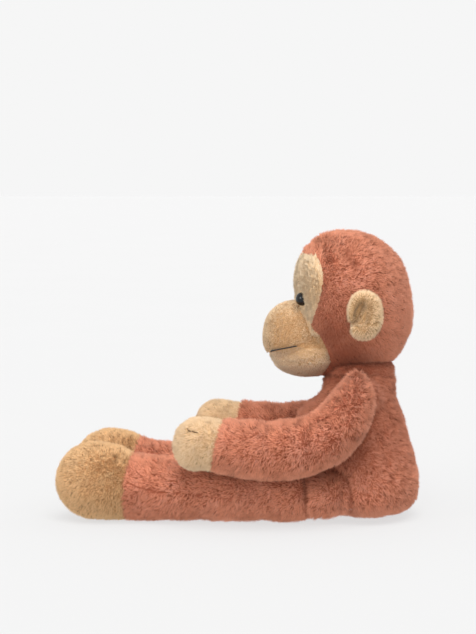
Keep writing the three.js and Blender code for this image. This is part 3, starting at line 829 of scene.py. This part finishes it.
def fade(line, ends=0.15):
    """1 along the line, falling to 0 at its two ends."""
    def mask(P):
        _, a = near_line(P[:, 1:], line)
        return np.clip(a / ends, 0, 1) * np.clip((1 - a) / ends, 0, 1)
    return mask


def mirror(P, side):
    return P if side > 0 else P * np.array([-1, 1, 1])


# ---------------------------------------------------------------- head
head = Cover(head_field, (-62, 12, 110), (62, 154, 248), floor=False)
EYE_AT, EYE_OUT = np.array([22.2, 55.6, 185.6]), math.radians(41)
EYE_WAY = unit(np.array([math.sin(EYE_OUT), -math.cos(EYE_OUT), 0.06]))
for side in (1, -1):
    head.dimple(EYE_AT * (side, 1, 1), 3.0, 9.0)
head.lumps(1, 0.35, 0.12, 0.06)
# seams: face edge, crown strip, side dart, and the lip line on the jaw
# each seam is drawn in and painted with shade along it
head.groove(
    lambda P: np.abs(P[:, 1] - np.interp(P[:, 2], EDGE_Z, EDGE_Y)), 1.0, 1.7, 0.25,
    lambda P: (P[:, 2] < 221) * (P[:, 2] > 118) * (np.abs(P[:, 0]) > 12),
)
head.groove(lambda P: np.abs(np.abs(P[:, 0]) - 17 - 0.04 * (P[:, 1] - 60)), 0.4, 1.2, 0.08,
            lambda P: (P[:, 2] > 184) * ~is_beige(P))
head.groove(side_line(DART, 20), 1.7, 4.2, 0.62, fade(DART, 0.3))
head.groove(lambda P: np.abs(P[:, 2] - 131.6 - 0.115 * (P[:, 1] - 36)), 0.5, 1.0, 0.35,
            lambda P: is_jaw(P) * 1.0)
shadow = 0.9 * np.exp(-(((head.v[:, 1] - 82) / 15) ** 2 + ((head.v[:, 2] - 157) / 22) ** 2))
shadow = np.maximum(shadow, 0.95 * np.exp(-(((head.v[:, 1] - 93) / 24) ** 2 + ((head.v[:, 2] - 143) / 18) ** 2)))
head.dark = np.maximum(head.dark, shadow * ~is_beige(head.v))
# painted shade on the lower cheeks of the face cloth, made uneven by noise
cheek_shade = np.clip((163 - head.v[:, 2]) / 16, 0, 1) * np.clip((head.v[:, 2] - 131) / 12, 0, 1) * np.clip((head.v[:, 1] - 24) / 14, 0, 1)
cheek_shade = cheek_shade * (0.42 + 0.10 * noise(head.v, 9, 77)[:, 0])
head.dark = np.maximum(head.dark, cheek_shade * is_beige(head.v))
head.done()


def mouth_height(P):
    """Height of the mouth line at each place round the muzzle."""
    turn = np.abs(np.arctan2(P[:, 0], 58 - P[:, 1]))
    return 138.4 + 0.8 * np.clip(turn / 0.4, 0, 1) + 9.2 * np.clip((turn - 0.35) / 1.2, 0, 1)


def head_comb(P, n):
    way = np.tile([0.0, 0.85, -0.5], (len(P), 1))
    back = np.clip((P[:, 1] - 118) / 30, 0, 1)[:, None]
    way = way * (1 - back) + np.array([0, 0.1, -1.0]) * back
    front = np.clip((92 - P[:, 1]) / 22, 0, 1)[:, None] * np.clip((P[:, 2] - 190) / 20, 0, 1)[:, None]
    way = way * (1 - front) + np.array([0, 0.5, -0.7]) * front
    edge = np.exp(-((np.clip(P[:, 1] - np.interp(P[:, 2], EDGE_Z, EDGE_Y), 0, 99) / 5.5) ** 2))[:, None]
    way = way * (1 - edge) + np.array([0, 1.0, 0.0]) * edge
    brow = (np.exp(-((P[:, 2] - 219) / 8) ** 2) * (P[:, 1] < 73))[:, None]
    way = way * (1 - brow) + np.array([0, 0.7, 0.9]) * brow
    d, _ = near_line(P[:, 1:], DART)
    part = np.exp(-((d / 4.5) ** 2))[:, None] * (np.abs(P[:, :1]) > 20)
    out = np.sign(P[:, 1:2] - np.interp(P[:, 2], [p[1] for p in DART[::-1]], [p[0] for p in DART[::-1]])[:, None])
    way = way * (1 - 0.3 * part) + np.array([0, 0.35, -0.1]) * out * part
    low = np.clip((186 - P[:, 2]) / 25, 0, 1)
    return way, 1.05 - 0.28 * low


def face_comb(P, n):
    c = P - np.array([0, 60, 190])
    way = np.stack([np.sign(P[:, 0]) * 0.8, np.full(len(P), 0.5), c[:, 2] * 0.03], 1)
    e = P - EYE_AT * np.where(P[:, :1] > 0, 1, -1) ** np.array([1, 0, 0])
    ring = np.exp(-((np.linalg.norm(e, axis=1) / 9) ** 2))[:, None]
    return way * (1 - ring) + unit(e) * ring * 1.5, np.ones(len(P))


def muzzle_comb(P, n):
    way = np.stack([np.sign(P[:, 0]) * 0.5, np.full(len(P), 0.7), np.full(len(P), -0.35)], 1)
    return way, np.ones(len(P))


def round_eye(P):
    return np.minimum(
        np.linalg.norm(P - (EYE_AT), axis=1), np.linalg.norm(P - EYE_AT * (-1, 1, 1), axis=1)
    ) < 7.6


def near_mouth(P):
    return is_muzzle(P) & (np.abs(P[:, 2] - mouth_height(P)) < 0.9) & (P[:, 1] < 56)


def edge_trim(P):
    """The pile is shorter along the seam with the face cloth."""
    e = np.abs(P[:, 1] - np.interp(P[:, 2], EDGE_Z, EDGE_Y))
    t = np.abs(P[:, 2] - 221.5) * (P[:, 1] < 72) + 99 * (P[:, 1] >= 72)
    return 0.62 + 0.38 * np.clip(np.minimum(e, t) / 4.0, 0, 1)


def is_crown(P):
    return ~is_beige(P) & (np.abs(P[:, 0]) < 17 + 0.04 * (P[:, 1] - 60)) & (P[:, 2] > 150)


head_regions = {
    "head_plush_left": (lambda P: ~is_beige(P) & ~is_crown(P) & (P[:, 0] >= 0), "head_cover_left"),
    "head_plush_right": (lambda P: ~is_beige(P) & ~is_crown(P) & (P[:, 0] < 0), "head_cover_right"),
    "crown_plush": (is_crown, "head_crown_strip"),
    "face_plush": (lambda P: is_beige(P) & ~is_muzzle(P), "face_cover"),
    "muzzle_plush": (lambda P: is_muzzle(P) & ~is_jaw(P), "muzzle_cover_upper"),
    "jaw_plush": (is_jaw, "muzzle_cover_jaw"),
}
seed = 10
for name, (keep, node) in head_regions.items():
    seed += 1
    if name in ("muzzle_plush", "jaw_plush"):
        cloth, pile, slot, comb = muzzle_cloth, muzzle_pile, "muzzle_plush", muzzle_comb
        opts = dict(density=3.5, length=1.6, lean=26, width=0.56, bare=near_mouth, swirl=0.2, grain=1.2, clump=0.18, normal_mix=0.95, scatter=0.4, fleck=0.045)
        if name == "jaw_plush":
            cloth, pile = jaw_cloth, jaw_pile
            opts |= dict(length=1.5, lean=26, clump=0.14, fleck=0.02)
    elif name == "face_plush":
        cloth, pile, slot, comb = face_cloth, face_pile, "beige_plush", face_comb
        opts = dict(density=2.7, length=3.1, lean=36, width=0.66, bare=round_eye, swirl=0.3, clump=0.2, grain=1.8, normal_mix=0.93,
                    shorten=lambda P: 0.55 + 0.45 * np.clip(
                        (np.linalg.norm(P - EYE_AT * np.where(P[:, :1] > 0, [[1, 1, 1]], [[-1, 1, 1]]), axis=1) - 5) / 8, 0, 1))
    else:
        cloth, pile, slot, comb = rust_cloth, rust_pile, "rust_plush", head_comb
        opts = dict(shorten=edge_trim, clump=0.2, swirl=0.24, lean=39, length=4.3, scatter=0.34, density=1.9, width=0.72)
    skin = skin_piece(name, head, keep, cloth)
    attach(skin, "head")
    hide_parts(node)
    fur = pile_piece(name.replace("plush", "pile"), head, keep, pile, comb, seed=seed, **opts)
    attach(fur, "head")


# ---------------------------------------------------------------- ears
ear = Cover(ear_field, (50, 90, 150), (72, 127, 200), step=1.1, floor=False)
# painted shade in the ear's slot and hollow
ear.dark = np.clip(1.0 * np.exp(-(near_line(ear.v[:, 1:], EAR_SLOT)[0] / 2.6) ** 2) * (ear.v[:, 0] > 59), 0, 0.95)
ear.dark = np.maximum(ear.dark, 0.6 * np.exp(-(((ear.v[:, 1] - 103.8) / 5.0) ** 2 + ((ear.v[:, 2] - 177) / 8.0) ** 2)) * (ear.v[:, 0] > 59))
for side, word in ((1, "left"), (-1, "right")):
    one = Cover.__new__(Cover)
    one.v, one.q, one.dark = mirror(ear.v, side), ear.q if side > 0 else ear.q[:, ::-1], ear.dark
    one.n = normals_of(one.v, one.q)
    for part, keep in (
        ("front", lambda P: np.abs(P[:, 0]) >= 60.0),
        ("back", lambda P: np.abs(P[:, 0]) < 60.0),
    ):
        skin = skin_piece(f"ear_{part}_plush_{word}", one, keep, ear_cloth)
        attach(skin, f"ear_{word}")
        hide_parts(f"ear_{part}_{word}")
        fur = pile_piece(
            f"ear_{part}_pile_{word}", one, keep, ear_pile,
            lambda P, n: (unit(P - EAR_MID * (1 if P[0, 0] > 0 else -1, 1, 1)), np.ones(len(P))),
            density=2.9, length=2.7, lean=30, width=0.62, clump=0.25, swirl=0.4, normal_mix=0.9, fleck=0.05, seed=30 + 2 * side + len(part),
            shorten=lambda P: 0.55 + 0.45 * np.clip((np.hypot((P[:, 1] - 105) / 4.5, (P[:, 2] - 176) / 9) - 0.8) / 1.0, 0, 1),
        )
        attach(fur, f"ear_{word}")


# ---------------------------------------------------------------- neck and torso
neck = Cover(lambda P: blob(P, (0, 103.6, 123.6), (27, 27.9, 12.8), 2.3), (-31, 70, 106), (31, 137, 143), floor=False)
neck.done()
# painted shade over the whole neck, which sits under the head
neck.dark = np.full(len(neck.v), 0.75)
everywhere = lambda P: np.ones(len(P), bool)
down = lambda P, n: (np.tile([0.0, 0.15, -1.0], (len(P), 1)), np.ones(len(P)))
skin = skin_piece("neck_plush", neck, everywhere, rust_cloth)
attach(skin, "neck")
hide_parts("neck_stuffing")
fur = pile_piece("neck_pile", neck, everywhere, rust_pile, down, length=3.6, seed=40)
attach(fur, "neck")

torso = Cover(torso_field, (-62, 40, -2), (62, 160, 130))
torso.lumps(5, 0.7, 0.3, 0.2)
# the middle seam and the ring round each haunch are drawn in with painted shade along them
torso.groove(lambda P: np.abs(P[:, 0]), 0.7, 1.4, 0.3)
HAUNCH = np.array([40.5, 76, 24])
torso.groove(lambda P: np.abs(np.linalg.norm(P * (1, 1, 1) - HAUNCH * np.where(P[:, :1] > 0, [[1, 1, 1]], [[-1, 1, 1]]), axis=1) - 25.5), 2.8, 3.2, 0.75,
             lambda P: np.clip((P[:, 1] - 70) / 8, 0, 1))
torso.done()
# painted shadow: the torso is darker above the hips and at the back, and darkest at the top front under the head
torso.dark = np.maximum(torso.dark, 0.45 * np.clip((torso.v[:, 2] - 30) / 30, 0, 1) + 0.18 * (torso.v[:, 1] > 98))
torso.dark = np.maximum(torso.dark, 0.85 * np.clip((torso.v[:, 2] - 100) / 18, 0, 1) * np.clip((104 - torso.v[:, 1]) / 14, 0, 1))


def torso_comb(P, n):
    way = np.tile([0.0, 0.25, -1.0], (len(P), 1))
    low = np.clip((50 - P[:, 2]) / 50, 0, 1)
    return way, 1.0 - 0.3 * low


for side, word in ((1, "left"), (-1, "right")):
    keep = (lambda P: P[:, 0] >= 0) if side > 0 else (lambda P: P[:, 0] < 0)
    skin = skin_piece(f"torso_plush_{word}", torso, keep, rust_cloth)
    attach(skin, "torso")
    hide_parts(f"torso_cover_{word}")
    fur = pile_piece(f"torso_pile_{word}", torso, keep, rust_pile, torso_comb, seed=50 + side)
    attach(fur, "torso")


# ---------------------------------------------------------------- limbs
def dashes(P):
    """A crease that comes and goes along the leg."""
    return np.clip(0.5 + 1.3 * np.sin(P[:, 1] * 0.19 + 0.6) + 0.5 * np.sin(P[:, 1] * 0.53), 0.08, 1)


def on_finger(P):
    """The short stitched crease on the back of the hand."""
    d, a = near_line(P[:, 1:], FINGER)
    return (d < 0.75 * np.clip(np.minimum(a, 1 - a) / 0.2, 0.2, 1)) & (np.abs(P[:, 0]) > 80)


def on_fold(P):
    d, a = near_line(P[:, 1:], LEG_FOLD)
    return (d < 0.5) & (np.abs(P[:, 0]) > 50) & (dashes(P) > 0.85) & (a > 0.1) & (a < 0.9)


def tangent_of(path):
    def comb_way(P):
        mid = (path[:-1, :3] + path[1:, :3]) / 2
        way = unit(np.diff(path[:, :3], axis=0))
        best, out = np.full(len(P), 1e9), np.zeros((len(P), 3))
        for m, w in zip(mid, way):
            d = np.linalg.norm(P - m, axis=1)
            out[d < best] = w
            best = np.minimum(best, d)
        return out
    return comb_way


arm_way, leg_way = tangent_of(ARM_SKIN), tangent_of(LEG_SKIN)
arm = Cover(arm_field, (24, -54, 38), (106, 128, 140))
arm.lumps(8, 0.6, 0.35, 0.15)
# the wrist seam, the hand crease and the folds are drawn in with painted shade along them
arm.groove(lambda P: np.abs(past_wrist(P)), 0.9, 1.5, 0.4)
arm.groove(side_line(FINGER, 80), 2.2, 1.4, 1.0, fade(FINGER, 0.15))
for fold in (
    [(97, 104), (90, 99), (84, 97)], [(99, 95), (91, 91), (84, 91)], [(94, 84), (88, 85), (81, 88)],
):
    arm.groove(side_line(fold, 60), 0.9, 1.6, 0.5, fade(fold, 0.3))
arm.done()
leg = Cover(leg_field, (8, -154, -3), (74, 104, 70))
leg.lumps(11, 0.6, 0.3, 0.15)
# the ankle seam, the dashed fold and the haunch crease are drawn in with painted shade along them
leg.groove(lambda P: np.abs(past_ankle(P)), 0.9, 1.6, 0.4)
leg.groove(side_line(LEG_FOLD, 48), 1.1, 1.3, 0.6, lambda P: fade(LEG_FOLD, 0.12)(P) * dashes(P))
leg.groove(lambda P: np.abs(P[:, 1] - 61.5 - 0.8 * np.sin(P[:, 2] * 0.3)), 2.2, 2.0, 0.8, lambda P: np.clip((P[:, 2] - 5) / 8, 0.1, 1))
leg.done()


def arm_comb(P, n):
    way = arm_way(P) * 0.75 + np.array([0, 0, -0.55])
    return way, np.full(len(P), 0.84)


def hand_comb(P, n):
    way = arm_way(P) * 0.7 + np.array([0, 0, -0.5])
    return way, np.full(len(P), 0.95)


def leg_comb(P, n):
    way = leg_way(P) * 0.9 + np.array([0, 0, -0.35])
    d, _ = near_line(P[:, 1:], LEG_FOLD)
    part = 0.5 * np.exp(-((d / 4.0) ** 2))[:, None] * (P[:, :1] > 44)
    level = np.interp(P[:, 1], [p[0] for p in LEG_FOLD], [p[1] for p in LEG_FOLD])
    way = way + np.array([0, 0, 1.6]) * np.sign(P[:, 2] - level)[:, None] * part
    return way, np.ones(len(P))


def foot_comb(P, n):
    return np.array([0.0, -0.5, -0.5]) + 0 * P, np.full(len(P), 0.55)


def copy_cover(cover, side):
    one = Cover.__new__(Cover)
    one.v, one.dark = mirror(cover.v, side), cover.dark
    one.q = cover.q if side > 0 else cover.q[:, ::-1]
    one.n = normals_of(one.v, one.q)
    return one


def sided(comb, side):
    def run(P, n):
        way, more = comb(mirror(P, side), mirror(n, side))
        return mirror(way, side), more
    return run


def blended(piece, start, end):
    tuple(place(start)[0])
    tuple(place(end)[0])
    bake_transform(piece)


for side, word in ((1, "left"), (-1, "right")):
    s = np.array([side, 1, 1])
    one = copy_cover(arm, side)
    if side < 0:  # this arm hangs a little lower
        one.v[:, 2] -= 4.4 * np.clip((101 - one.v[:, 1]) / 30, 0, 1)
        one.n = normals_of(one.v, one.q)
        # painted shade on the right arm, strongest on the hand
        one.dark = np.maximum(one.dark, np.where(past_wrist(mirror(one.v, -1)) > -4, 0.42, 0.28))
    elbow_a, elbow_b = np.array([68, 88, 86.5]) * s, np.array([77.5, 58, 69.5]) * s
    cuff = 0.0 if side > 0 else -3.0
    keep_arm, keep_hand = (lambda P: past_wrist(P) < cuff), (lambda P: past_wrist(P) >= cuff)
    skin = skin_piece(f"arm_plush_{word}", one, keep_arm, rust_cloth)
    fur = pile_piece(f"arm_pile_{word}", one, keep_arm, rust_pile, sided(arm_comb, side),
                     seed=60 + side, clump=0.42, swirl=0.4, scatter=0.28)
    for piece in (skin, fur):
        blended(piece, elbow_a, elbow_b)
    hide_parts(f"upper_arm_cover_{word}", f"forearm_cover_{word}",
                f"upper_arm_stuffing_{word}", f"forearm_stuffing_{word}")
    skin = skin_piece(f"hand_plush_{word}", one, keep_hand, sand_cloth)
    fur = pile_piece(f"hand_pile_{word}", one, keep_hand, sand_pile, sided(hand_comb, side),
                     seed=64 + side, length=3.3, density=2.6, lean=40, clump=0.22, swirl=0.25, width=0.66, normal_mix=0.93,
                     bare=on_finger, fleck=0.03)
    for piece in (skin, fur):
        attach(piece, f"forearm_{word}")
    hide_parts(f"hand_cover_{word}", f"hand_stuffing_{word}")

    one = copy_cover(leg, side)
    if side < 0:
        # painted shade on the right leg and foot
        one.dark = np.maximum(one.dark, 0.2)
    edge = 0.0 if side > 0 else 6.5
    keep_leg, keep_foot = (lambda P: past_ankle(P) < edge), (lambda P: past_ankle(P) >= edge)
    knee_a, knee_b = np.array([40, 12, 27]) * s, np.array([40, -36, 27]) * s
    skin = skin_piece(f"leg_plush_{word}", one, keep_leg, rust_cloth)
    fur = pile_piece(f"leg_pile_{word}", one, keep_leg, rust_pile, sided(leg_comb, side),
                     seed=70 + side, length=4.4, bare=on_fold)
    for piece in (skin, fur):
        blended(piece, knee_a, knee_b)
    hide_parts(f"thigh_cover_{word}", f"shin_cover_{word}",
                f"thigh_stuffing_{word}", f"shin_stuffing_{word}")
    skin = skin_piece(f"foot_plush_{word}", one, keep_foot, foot_cloth)
    fur = pile_piece(f"foot_pile_{word}", one, keep_foot, foot_pile, sided(foot_comb, side),
                     seed=74 + side, length=3.1, density=2.5, width=0.64, swirl=0.5, clump=0.3, grain=1.6, normal_mix=0.93, fleck=0.075)
    for piece in (skin, fur):
        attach(piece, f"shin_{word}")
    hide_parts(f"foot_cover_{word}")


# ---------------------------------------------------------------- eyes, threads
def revolve(name, profile, at, way, seg=40):
    """A turned piece: profile is (distance along way, radius), from the back to the front."""
    way = unit(np.array(way, float))
    e1 = unit(np.cross(way, [0, 0, 1.0]))
    e2 = np.cross(way, e1)
    rings = []
    for h, r in profile:
        ang = np.arange(seg) * 2 * math.pi / seg
        rings.append(at + way * h + r * (np.cos(ang)[:, None] * e1 + np.sin(ang)[:, None] * e2))
    verts = np.vstack([*rings, [at + way * profile[0][0]], [at + way * profile[-1][0]]])
    faces = []
    for i in range(len(profile) - 1):
        for j in range(seg):
            k = (j + 1) % seg
            faces.append((i * seg + j, i * seg + k, (i + 1) * seg + k, (i + 1) * seg + j))
    last = (len(profile) - 1) * seg
    a, b = len(verts) - 2, len(verts) - 1
    mesh = bpy.data.meshes.new(name)
    tris = [(k2, k1, a) for k1, k2 in ((j, (j + 1) % seg) for j in range(seg))]
    tris += [(last + k1, last + k2, b) for k1, k2 in ((j, (j + 1) % seg) for j in range(seg))]
    mesh.from_pydata([tuple(v) for v in place(verts)], [], faces + tris)
    mesh.polygons.foreach_set("use_smooth", np.full(len(mesh.polygons), True))
    import bmesh
    bm = bmesh.new()
    bm.from_mesh(mesh)
    bmesh.ops.recalc_face_normals(bm, faces=bm.faces)
    bm.to_mesh(mesh)
    bm.free()
    obj = bpy.data.objects.new(name, mesh)
    bpy.context.scene.collection.objects.link(obj)
    return obj


eye_look = eye_material()
DOME = [(-9.5, 1.2), (-9.2, 1.7), (-6.4, 1.7), (-1.6, 1.8), (-1.1, 5.3), (-0.8, 5.7), (0.1, 5.7), (0.6, 5.55)]
DOME += [(0.6 + 4.2 * math.sin(a), 5.55 * math.cos(a)) for a in np.radians([8, 16, 26, 36, 46, 56, 66, 76, 84, 88])]
for side, word in ((1, "left"), (-1, "right")):
    eye = revolve(f"eye_dome_{word}", DOME, EYE_AT * (side, 1, 1), EYE_WAY * (side, 1, 1))
    eye.data.materials.append(eye_look)
    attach(eye, "head")
    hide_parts(f"eye_{word}")


def march(field, start, way, level, far=60.0):
    """Last point on a ray where the field is still under level."""
    t = np.linspace(0, far, 600)
    P = np.array(start) + t[:, None] * np.array(way)
    inside = np.flatnonzero(field(P) < level)
    return P[inside[-1]]


def twisted(name, path, radius, strands=2, pitch=2.2, seg=8):
    """A thread of plies wound round each other along a path."""
    path = np.array(path)
    s = np.concatenate([[0], np.cumsum(np.linalg.norm(np.diff(path, axis=0), axis=1))])
    dense = np.arange(0, s[-1], 0.28)
    P = np.stack([np.interp(dense, s, path[:, k]) for k in range(3)], 1)
    for _ in range(6):
        P[1:-1] = 0.25 * P[:-2] + 0.5 * P[1:-1] + 0.25 * P[2:]
    T = unit(np.gradient(P, axis=0))
    up = unit(np.cross(T, np.cross(np.array([0, 0, 1.0]), T) + 1e-6))
    side_v = np.cross(T, up)
    verts, faces = [], []
    for ply in range(strands):
        ang = dense / pitch * 2 * math.pi + ply * 2 * math.pi / strands
        taper = np.clip(np.minimum(dense, dense[-1] - dense) / 0.8, 0.15, 1)
        c = P + (radius * 0.5) * (np.cos(ang)[:, None] * up + np.sin(ang)[:, None] * side_v)
        base = len(verts)
        for i in range(len(c)):
            for j in range(seg):
                a = 2 * math.pi * j / seg
                verts.append(c[i] + radius * 0.62 * taper[i] * (math.cos(a) * up[i] + math.sin(a) * side_v[i]))
        for i in range(len(c) - 1):
            for j in range(seg):
                k = (j + 1) % seg
                faces.append((base + i * seg + j, base + i * seg + k, base + (i + 1) * seg + k, base + (i + 1) * seg + j))
    return make_mesh(name, np.array(verts), np.array(faces))


mouth_path = []
for turn in np.linspace(-1.42, 1.42, 61):
    way = np.array([math.sin(turn), -math.cos(turn), 0.0])
    z = float(mouth_height(np.array([[math.sin(turn) * 30, 58 - math.cos(turn) * 30, 140]]))[0])
    mouth_path.append(march(lambda P: smin(upper_muzzle(P), jaw(P), 1.6), (0, 58, z), way, 1.3 - 3.2 * math.exp(-((turn / 0.62) ** 4))))
mouth = twisted("mouth_thread", mouth_path, 0.62)
mouth.data.materials.append(thread_material("mouth_thread_look", linear(6, 8, 6), linear(20, 25, 19)))
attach(mouth, "head")
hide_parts("mouth_stitch")

crease_look = thread_material("crease_thread_look", linear(88, 62, 34), linear(134, 100, 60))
for side, word in ((1, "left"), (-1, "right")):
    runs = []
    for line in ([(-33.4, 85.0), (-31.4, 83.6), (-29.8, 82.6)], [(-29.0, 83.2), (-26.4, 82.6), (-23.4, 82.5)]):
        pts = []
        for t in np.linspace(0, 1, 7):
            y, z = (np.interp(t, [0, 0.5, 1], [q[k] for q in line]) for k in (0, 1))
            top = march(arm_field, (78, y, z), (1.0, 0, 0), 2.1 - 2.0 * abs(2 * t - 1) ** 3, 40)
            if side < 0:
                top = top * (-1, 1, 1) - np.array([0, 0, 4.4])
            pts.append(top)
        runs.append(pts)
    for k, pts in enumerate(runs):
        crease = twisted(f"hand_crease_{k + 1}_{word}", pts, 0.42)
        crease.data.materials.append(crease_look)
        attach(crease, f"forearm_{word}")

nose_look = thread_material("nose_thread_look", linear(206, 158, 112), linear(240, 212, 176))
for side, word in ((1, "left"), (-1, "right")):
    strands = []
    for k, off in enumerate((-0.55, 0.0, 0.55)):
        pts = []
        for t in np.linspace(-1, 1, 9):
            aim = np.array([side * (12.5 + 1.0 * t), 40.0 + 2.6 * t, 0])
            top = march(upper_muzzle, (aim[0], aim[1] + 4, 160), unit(np.array([0, -0.18, 1.0])), 1.5 - 0.5 * t * t + 0.1, 40)
            pts.append(top + np.array([off * 0.9, -off * 0.2, 0]))
        strands.append(np.array(pts))
    loop = np.vstack([strands[0], strands[1][::-1], strands[2]])
    nose = twisted(f"nostril_thread_{word}", loop, 0.36)
    nose.data.materials.append(nose_look)
    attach(nose, "head")
    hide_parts(f"nostril_stitch_{word}")


# ---------------------------------------------------------------- inner pieces keep their CAD shape
looks = {"stuffing": filling_material(), "pouch": pellet_material(), "washer": washer_material()}
for name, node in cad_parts.items():
    for word, look in looks.items():
        if word in name:
            node.data.materials.clear()
            node.data.materials.append(look)


# ---------------------------------------------------------------- stage, light, camera
PAPER = (0.14, 0.14, 0.14, 1.0)


def stage():
    m, tree, shader = start_material("studio_paper")
    tree.links.new(
        mixer(tree, shade(PAPER, 1.01), shade(PAPER, 0.985), grain(tree, 1.5, 3)),
        shader.inputs["Base Color"],
    )
    tree.links.new(ramp(tree, grain(tree, 3, 2), (0.3, 0.9), (0.7, 1.0)), shader.inputs["Roughness"])
    shader.inputs["Specular IOR Level"].default_value = 0.05
    shader.inputs["Emission Color"].default_value = (1, 1, 1, 1)
    shader.inputs["Emission Strength"].default_value = 0.666
    mesh = bpy.data.meshes.new("studio_floor")
    s = 60.0
    mesh.from_pydata([(-s, -s, 0), (s, -s, 0), (s, s, 0), (-s, s, 0)], [], [(0, 1, 2, 3)])
    obj = bpy.data.objects.new("studio_floor", mesh)
    obj.data.materials.append(m)
    bpy.context.scene.collection.objects.link(obj)
    obj.visible_shadow = False


stage()
scene = bpy.context.scene
scene.view_settings.view_transform = "Standard"
scene.view_settings.look = "None"
world = bpy.data.worlds.new("studio")
world.use_nodes = True
scene.world = world
world.node_tree.nodes["Background"].inputs["Color"].default_value = linear(246, 246, 246)
world.node_tree.nodes["Background"].inputs["Strength"].default_value = 1.0


def sun(name, way, power, spread, colour=(1, 1, 1)):
    """A broad soft light from a direction, even over the whole floor."""
    light = bpy.data.lights.new(name, "SUN")
    light.energy = power
    light.angle = math.radians(spread)
    light.color = colour
    obj = bpy.data.objects.new(name, light)
    obj.rotation_mode = "QUATERNION"
    obj.rotation_quaternion = Vector(way).to_track_quat("Z", "Y")
    bpy.context.scene.collection.objects.link(obj)


sun("key_top", (0.55, 0.15, 1.0), 2.5, 40)
sun("fill_front", (0.9, -0.8, 0.30), 0.55, 55)
sun("sparkle", (0.66, -0.72, 0.30), 0.42, 8)
sun("rim_back", (-0.35, 0.9, 0.55), 0.3, 40)
sun("bounce", (0.55, -0.35, -0.75), 0.55, 70)

data = bpy.data.cameras.new("camera")
data.lens = 100.0
data.sensor_width = 36.0
data.sensor_fit = "AUTO"
data.clip_start, data.clip_end = 0.05, 200
camera = bpy.data.objects.new("camera", data)
bpy.context.scene.collection.objects.link(camera)
el, az = math.radians(4.2), math.radians(5.0)
back = Vector((math.cos(el) * math.cos(az), math.cos(el) * math.sin(az), math.sin(el)))
camera.location = Vector((0, SHIFT * 0.001, 0.16853)) + back * 1.5
camera.rotation_mode = "QUATERNION"
camera.rotation_quaternion = (-back).to_track_quat("-Z", "Y")
scene.camera = camera
